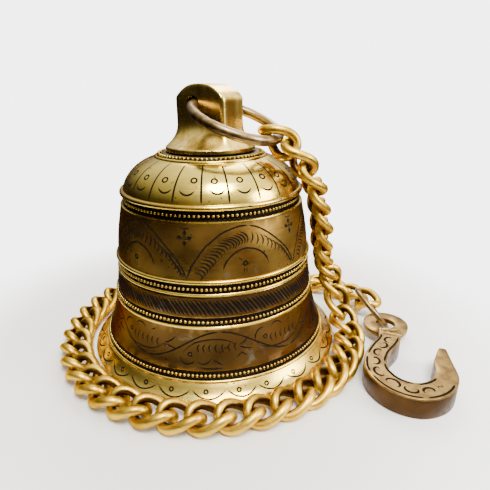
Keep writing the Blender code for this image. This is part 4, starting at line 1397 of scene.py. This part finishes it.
# ---------------------------------------------------------------- clapper
def build_clapper(steel, brass):
    """Nut, screw eye, oval link, and the clapper's rod and ball inside the bell."""
    def hexagon(radius, z):
        corners = [Vector((radius * math.cos(a), radius * math.sin(a), z))
                   for a in (math.pi / 3 * k for k in range(6))]
        ring = []
        for a, b in zip(corners, corners[1:] + corners[:1]):
            ring += [a.lerp(b, t / 4) for t in range(4)]
        return ring

    across = 13.0 / math.sqrt(3)
    rings = []
    for radius, z in ((across - 0.9, 66.0), (across, 66.6), (across, 74.5), (across - 0.9, 75.1)):
        ring = hexagon(across, z)
        pulls = [min(1, radius / p.xy.length) for p in ring]
        rings.append([Vector((p.x * pull, p.y * pull, z)) for p, pull in zip(ring, pulls)])
    rings += [level_circle(4.3, 75.1), level_circle(4.3, 66.0)]
    nut = add_skin("coupling_nut_hex", rings, [steel], closed=True, sharp=25)
    eye_rings, _ = wire_rings(
        circle_line(Vector((0, 0, 60.0)), Vector((1, 0, 0)), UP, 4.0, 64), 1.4, 16)
    points, faces = joined(eye_rings), skin(eye_rings, closed=True)
    shank = []
    for i in range(57):
        z = 63.2 + 7.4 * i / 56
        shank.append(level_circle(3.95 if z < 64.6 else 3.95 - 0.22 * (i % 2), z))
    faces += skin(shank, offset=len(points))
    points += joined(shank)
    eye = add_piece("clapper_screw_eye", points, faces, [steel], sharp=30)
    recalculate(eye)
    oval = []
    for k in range(72):
        a = 2 * math.pi * (k + 0.5) / 72
        lift = 2.1 if math.sin(a) > 0 else -2.1
        oval.append(Vector((0.0, 2.9 * math.cos(a), 53.8 + lift + 2.9 * math.sin(a))))
    rings, _ = wire_rings(oval, 1.1, 14)
    link = add_skin("clapper_oval_link", rings, [steel], closed=True)
    rings, _ = wire_rings(
        circle_line(Vector((0, 0, 47.9)), Vector((1, 0, 0)), UP, 3.6, 60), 1.3, 14)
    points, faces = joined(rings), skin(rings, closed=True)
    shaft = [level_circle(r, z) for r, z in (
        (1.6, 3.4), (2.6, 3.7), (3.1, 4.3), (3.3, 5.0), (3.3, 5.8), (3.1, 6.0), (1.8, 6.1),
        (1.8, 15.0), (1.75, 24.0), (1.8, 26.0), (1.8, 40.0), (1.85, 43.0), (2.0, 44.8))]
    faces += skin(shaft, offset=len(points))
    points += joined(shaft)
    rod = add_piece("clapper_rod_and_eye", points, faces, [steel], sharp=40)
    recalculate(rod)
    first = math.asin(2.2 / 8.5)
    outline = []
    for k in range(33):
        a = first + (math.pi - 2 * first) * k / 32
        groove = 0.16 if k in (15, 17) else 0.0
        outline.append(((8.5 - groove) * math.sin(a), 15.0 + (8.5 - groove) * math.cos(a)))
    made, faces = turned(outline, 64)
    ball = add_piece("clapper_strike_ball", made, faces, [brass], sharp=50)
    recalculate(ball)
    for piece, body, node, slot_name in (
            (nut, "bell", "coupling_nut", "clapper_steel"),
            (eye, "bell", "clapper_eye", "clapper_steel"),
            (link, "clapper_link", "clapper_link", "clapper_steel"),
            (rod, "clapper", "clapper_rod", "clapper_steel"),
            (ball, "clapper", "clapper_ball", "engraved_brass")):
        fit(piece, body, slot_name, node)


# ---------------------------------------------------------------- stage
def area_light(name, place, target, size, power, colour=(1.0, 0.96, 0.9)):
    """A round soft light that points at a target."""
    data = bpy.data.lights.new(name, "AREA")
    data.shape, data.size, data.energy, data.color = "DISK", size, power, colour
    light = bpy.data.objects.new(name, data)
    light.location = place
    light.rotation_euler = (Vector(target) - Vector(place)).to_track_quat("-Z", "Y").to_euler()
    bpy.context.scene.collection.objects.link(light)


def build_stage():
    """A pale floor that fades out at its rim into a pale surround."""
    mesh = bpy.data.meshes.new("floor")
    half = 0.6
    mesh.from_pydata(
        [(-half, -half, 0), (half, -half, 0), (half, half, 0), (-half, half, 0)], [], [(0, 1, 2, 3)])
    material = bpy.data.materials.new("pale_floor")
    material.use_nodes = True
    tree = material.node_tree
    shader = tree.nodes["Principled BSDF"]
    shader.inputs["Base Color"].default_value = (0.78, 0.77, 0.75, 1.0)
    shader.inputs["Roughness"].default_value = 0.9
    place = tree.nodes.new("ShaderNodeTexCoord")
    length = tree.nodes.new("ShaderNodeVectorMath")
    length.operation = "LENGTH"
    tree.links.new(place.outputs["Object"], length.inputs[0])
    fade = ranged(tree, length.outputs["Value"], 0.08, 0.15, 1.0, 0.0, smooth=True)
    tree.links.new(fade, shader.inputs["Alpha"])
    mesh.materials.append(material)
    floor = bpy.data.objects.new("floor", mesh)
    bpy.context.scene.collection.objects.link(floor)

    world = bpy.data.worlds.new("studio")
    bpy.context.scene.world = world
    world.use_nodes = True
    tree = world.node_tree
    background = tree.nodes["Background"]
    where = tree.nodes.new("ShaderNodeTexCoord")
    split = tree.nodes.new("ShaderNodeSeparateXYZ")
    tree.links.new(where.outputs["Generated"], split.inputs[0])
    height = tree.nodes.new("ShaderNodeValToRGB")
    tree.links.new(ranged(tree, split.outputs["Z"], -0.4), height.inputs[0])
    stops = height.color_ramp.elements
    stops[0].color, stops[1].color = (0.10, 0.07, 0.045, 1), (1.6, 1.56, 1.46, 1)
    for place, colour in (
            (0.26, (0.05, 0.034, 0.02)), (0.36, (0.08, 0.058, 0.036)), (0.52, (0.40, 0.36, 0.29)),
            (0.70, (1.2, 1.15, 1.04))):
        stops.new(place).color = (*colour, 1)
    side = ranged(tree, split.outputs["X"], -0.9, 0.9, 0.25, 2.0)
    depth = ranged(tree, split.outputs["Y"], -0.7, 0.8, 0.75, 1.5)
    both = tree.nodes.new("ShaderNodeMath")
    both.operation = "MULTIPLY"
    tree.links.new(side, both.inputs[0])
    tree.links.new(depth, both.inputs[1])
    scale = tree.nodes.new("ShaderNodeMix")
    scale.data_type, scale.blend_type = "RGBA", "MULTIPLY"
    scale.inputs["Factor"].default_value = 1.0
    tree.links.new(height.outputs["Color"], scale.inputs[6])
    tree.links.new(both.outputs[0], scale.inputs[7])
    path = tree.nodes.new("ShaderNodeLightPath")
    seen = tree.nodes.new("ShaderNodeMix")
    seen.data_type = "RGBA"
    tree.links.new(path.outputs["Is Camera Ray"], seen.inputs["Factor"])
    tree.links.new(scale.outputs[2], seen.inputs[6])
    seen.inputs[7].default_value = (5.0, 5.0, 5.0, 1)
    tree.links.new(seen.outputs[2], background.inputs["Color"])
    background.inputs["Strength"].default_value = 1.0

    middle = (0.0, 0.0, 0.05)
    area_light("key", (0.10, -0.36, 0.72), middle, 0.34, 13.0)
    area_light("fill", (0.60, -0.25, 0.30), middle, 0.35, 6.0)
    area_light("back", (0.1, 0.6, 0.6), middle, 0.5, 6.0)


# ---------------------------------------------------------------- assembly
CROWN_RING_R = 16.3
CROWN_RING_WIRE = 1.85      # a little fuller than the CAD wire
CROWN_RING_SEAT = 0.69      # from the lug hole's middle to the wire's
HOOK_RING_R = 9.7
HOOK_RING_WIRE = 1.1
HOOK_RING_LEAN = math.radians(40)
HOOK_RING_FOOT = Vector((72.8, -11.9, 4.3))     # the wire's middle at the hook's eye
HOOK_RING_CHORD = 0.8       # half the chord at that height, as a share of the radius


def main():
    """Camera and chain first, then the rest of the pieces and the stage."""
    build_camera()
    brass, groove, cast = engraved_brass(), groove_patina(), inner_brass()
    links, bronze, steel, lug_metal = chain_brass(), ring_bronze(), clapper_steel(), lug_brass()
    chain, tail, path = build_chain(links)
    up = Vector((-math.sin(HOOK_RING_LEAN), 0.0, math.cos(HOOK_RING_LEAN)))
    half_chord = HOOK_RING_CHORD * HOOK_RING_R
    rise = math.sqrt(HOOK_RING_R ** 2 - half_chord ** 2)
    hook_ring_centre = HOOK_RING_FOOT + Vector((0, half_chord, 0)) + up * rise
    hook_ring = build_ring(
        "small_ring", "hook_ring", "hook_ring", hook_ring_centre, Vector((0, 1, 0)), up,
        HOOK_RING_R, HOOK_RING_WIRE, bronze)
    hook = build_hook(hook_brass(), groove, hook_side_painted_shade())
    [p * MM for p in path]
    build_bell(brass, groove, cast)
    build_beads(brass)
    build_lug(lug_metal)
    build_ring(
        "lug_ring", "crown_ring", "crown_ring",
        LUG_HOLE + RING_DROOP * (CROWN_RING_R - CROWN_RING_SEAT), LUG_FACE, RING_DROOP,
        CROWN_RING_R, CROWN_RING_WIRE, bronze)
    build_clapper(steel, brass)
    build_stage()


main()
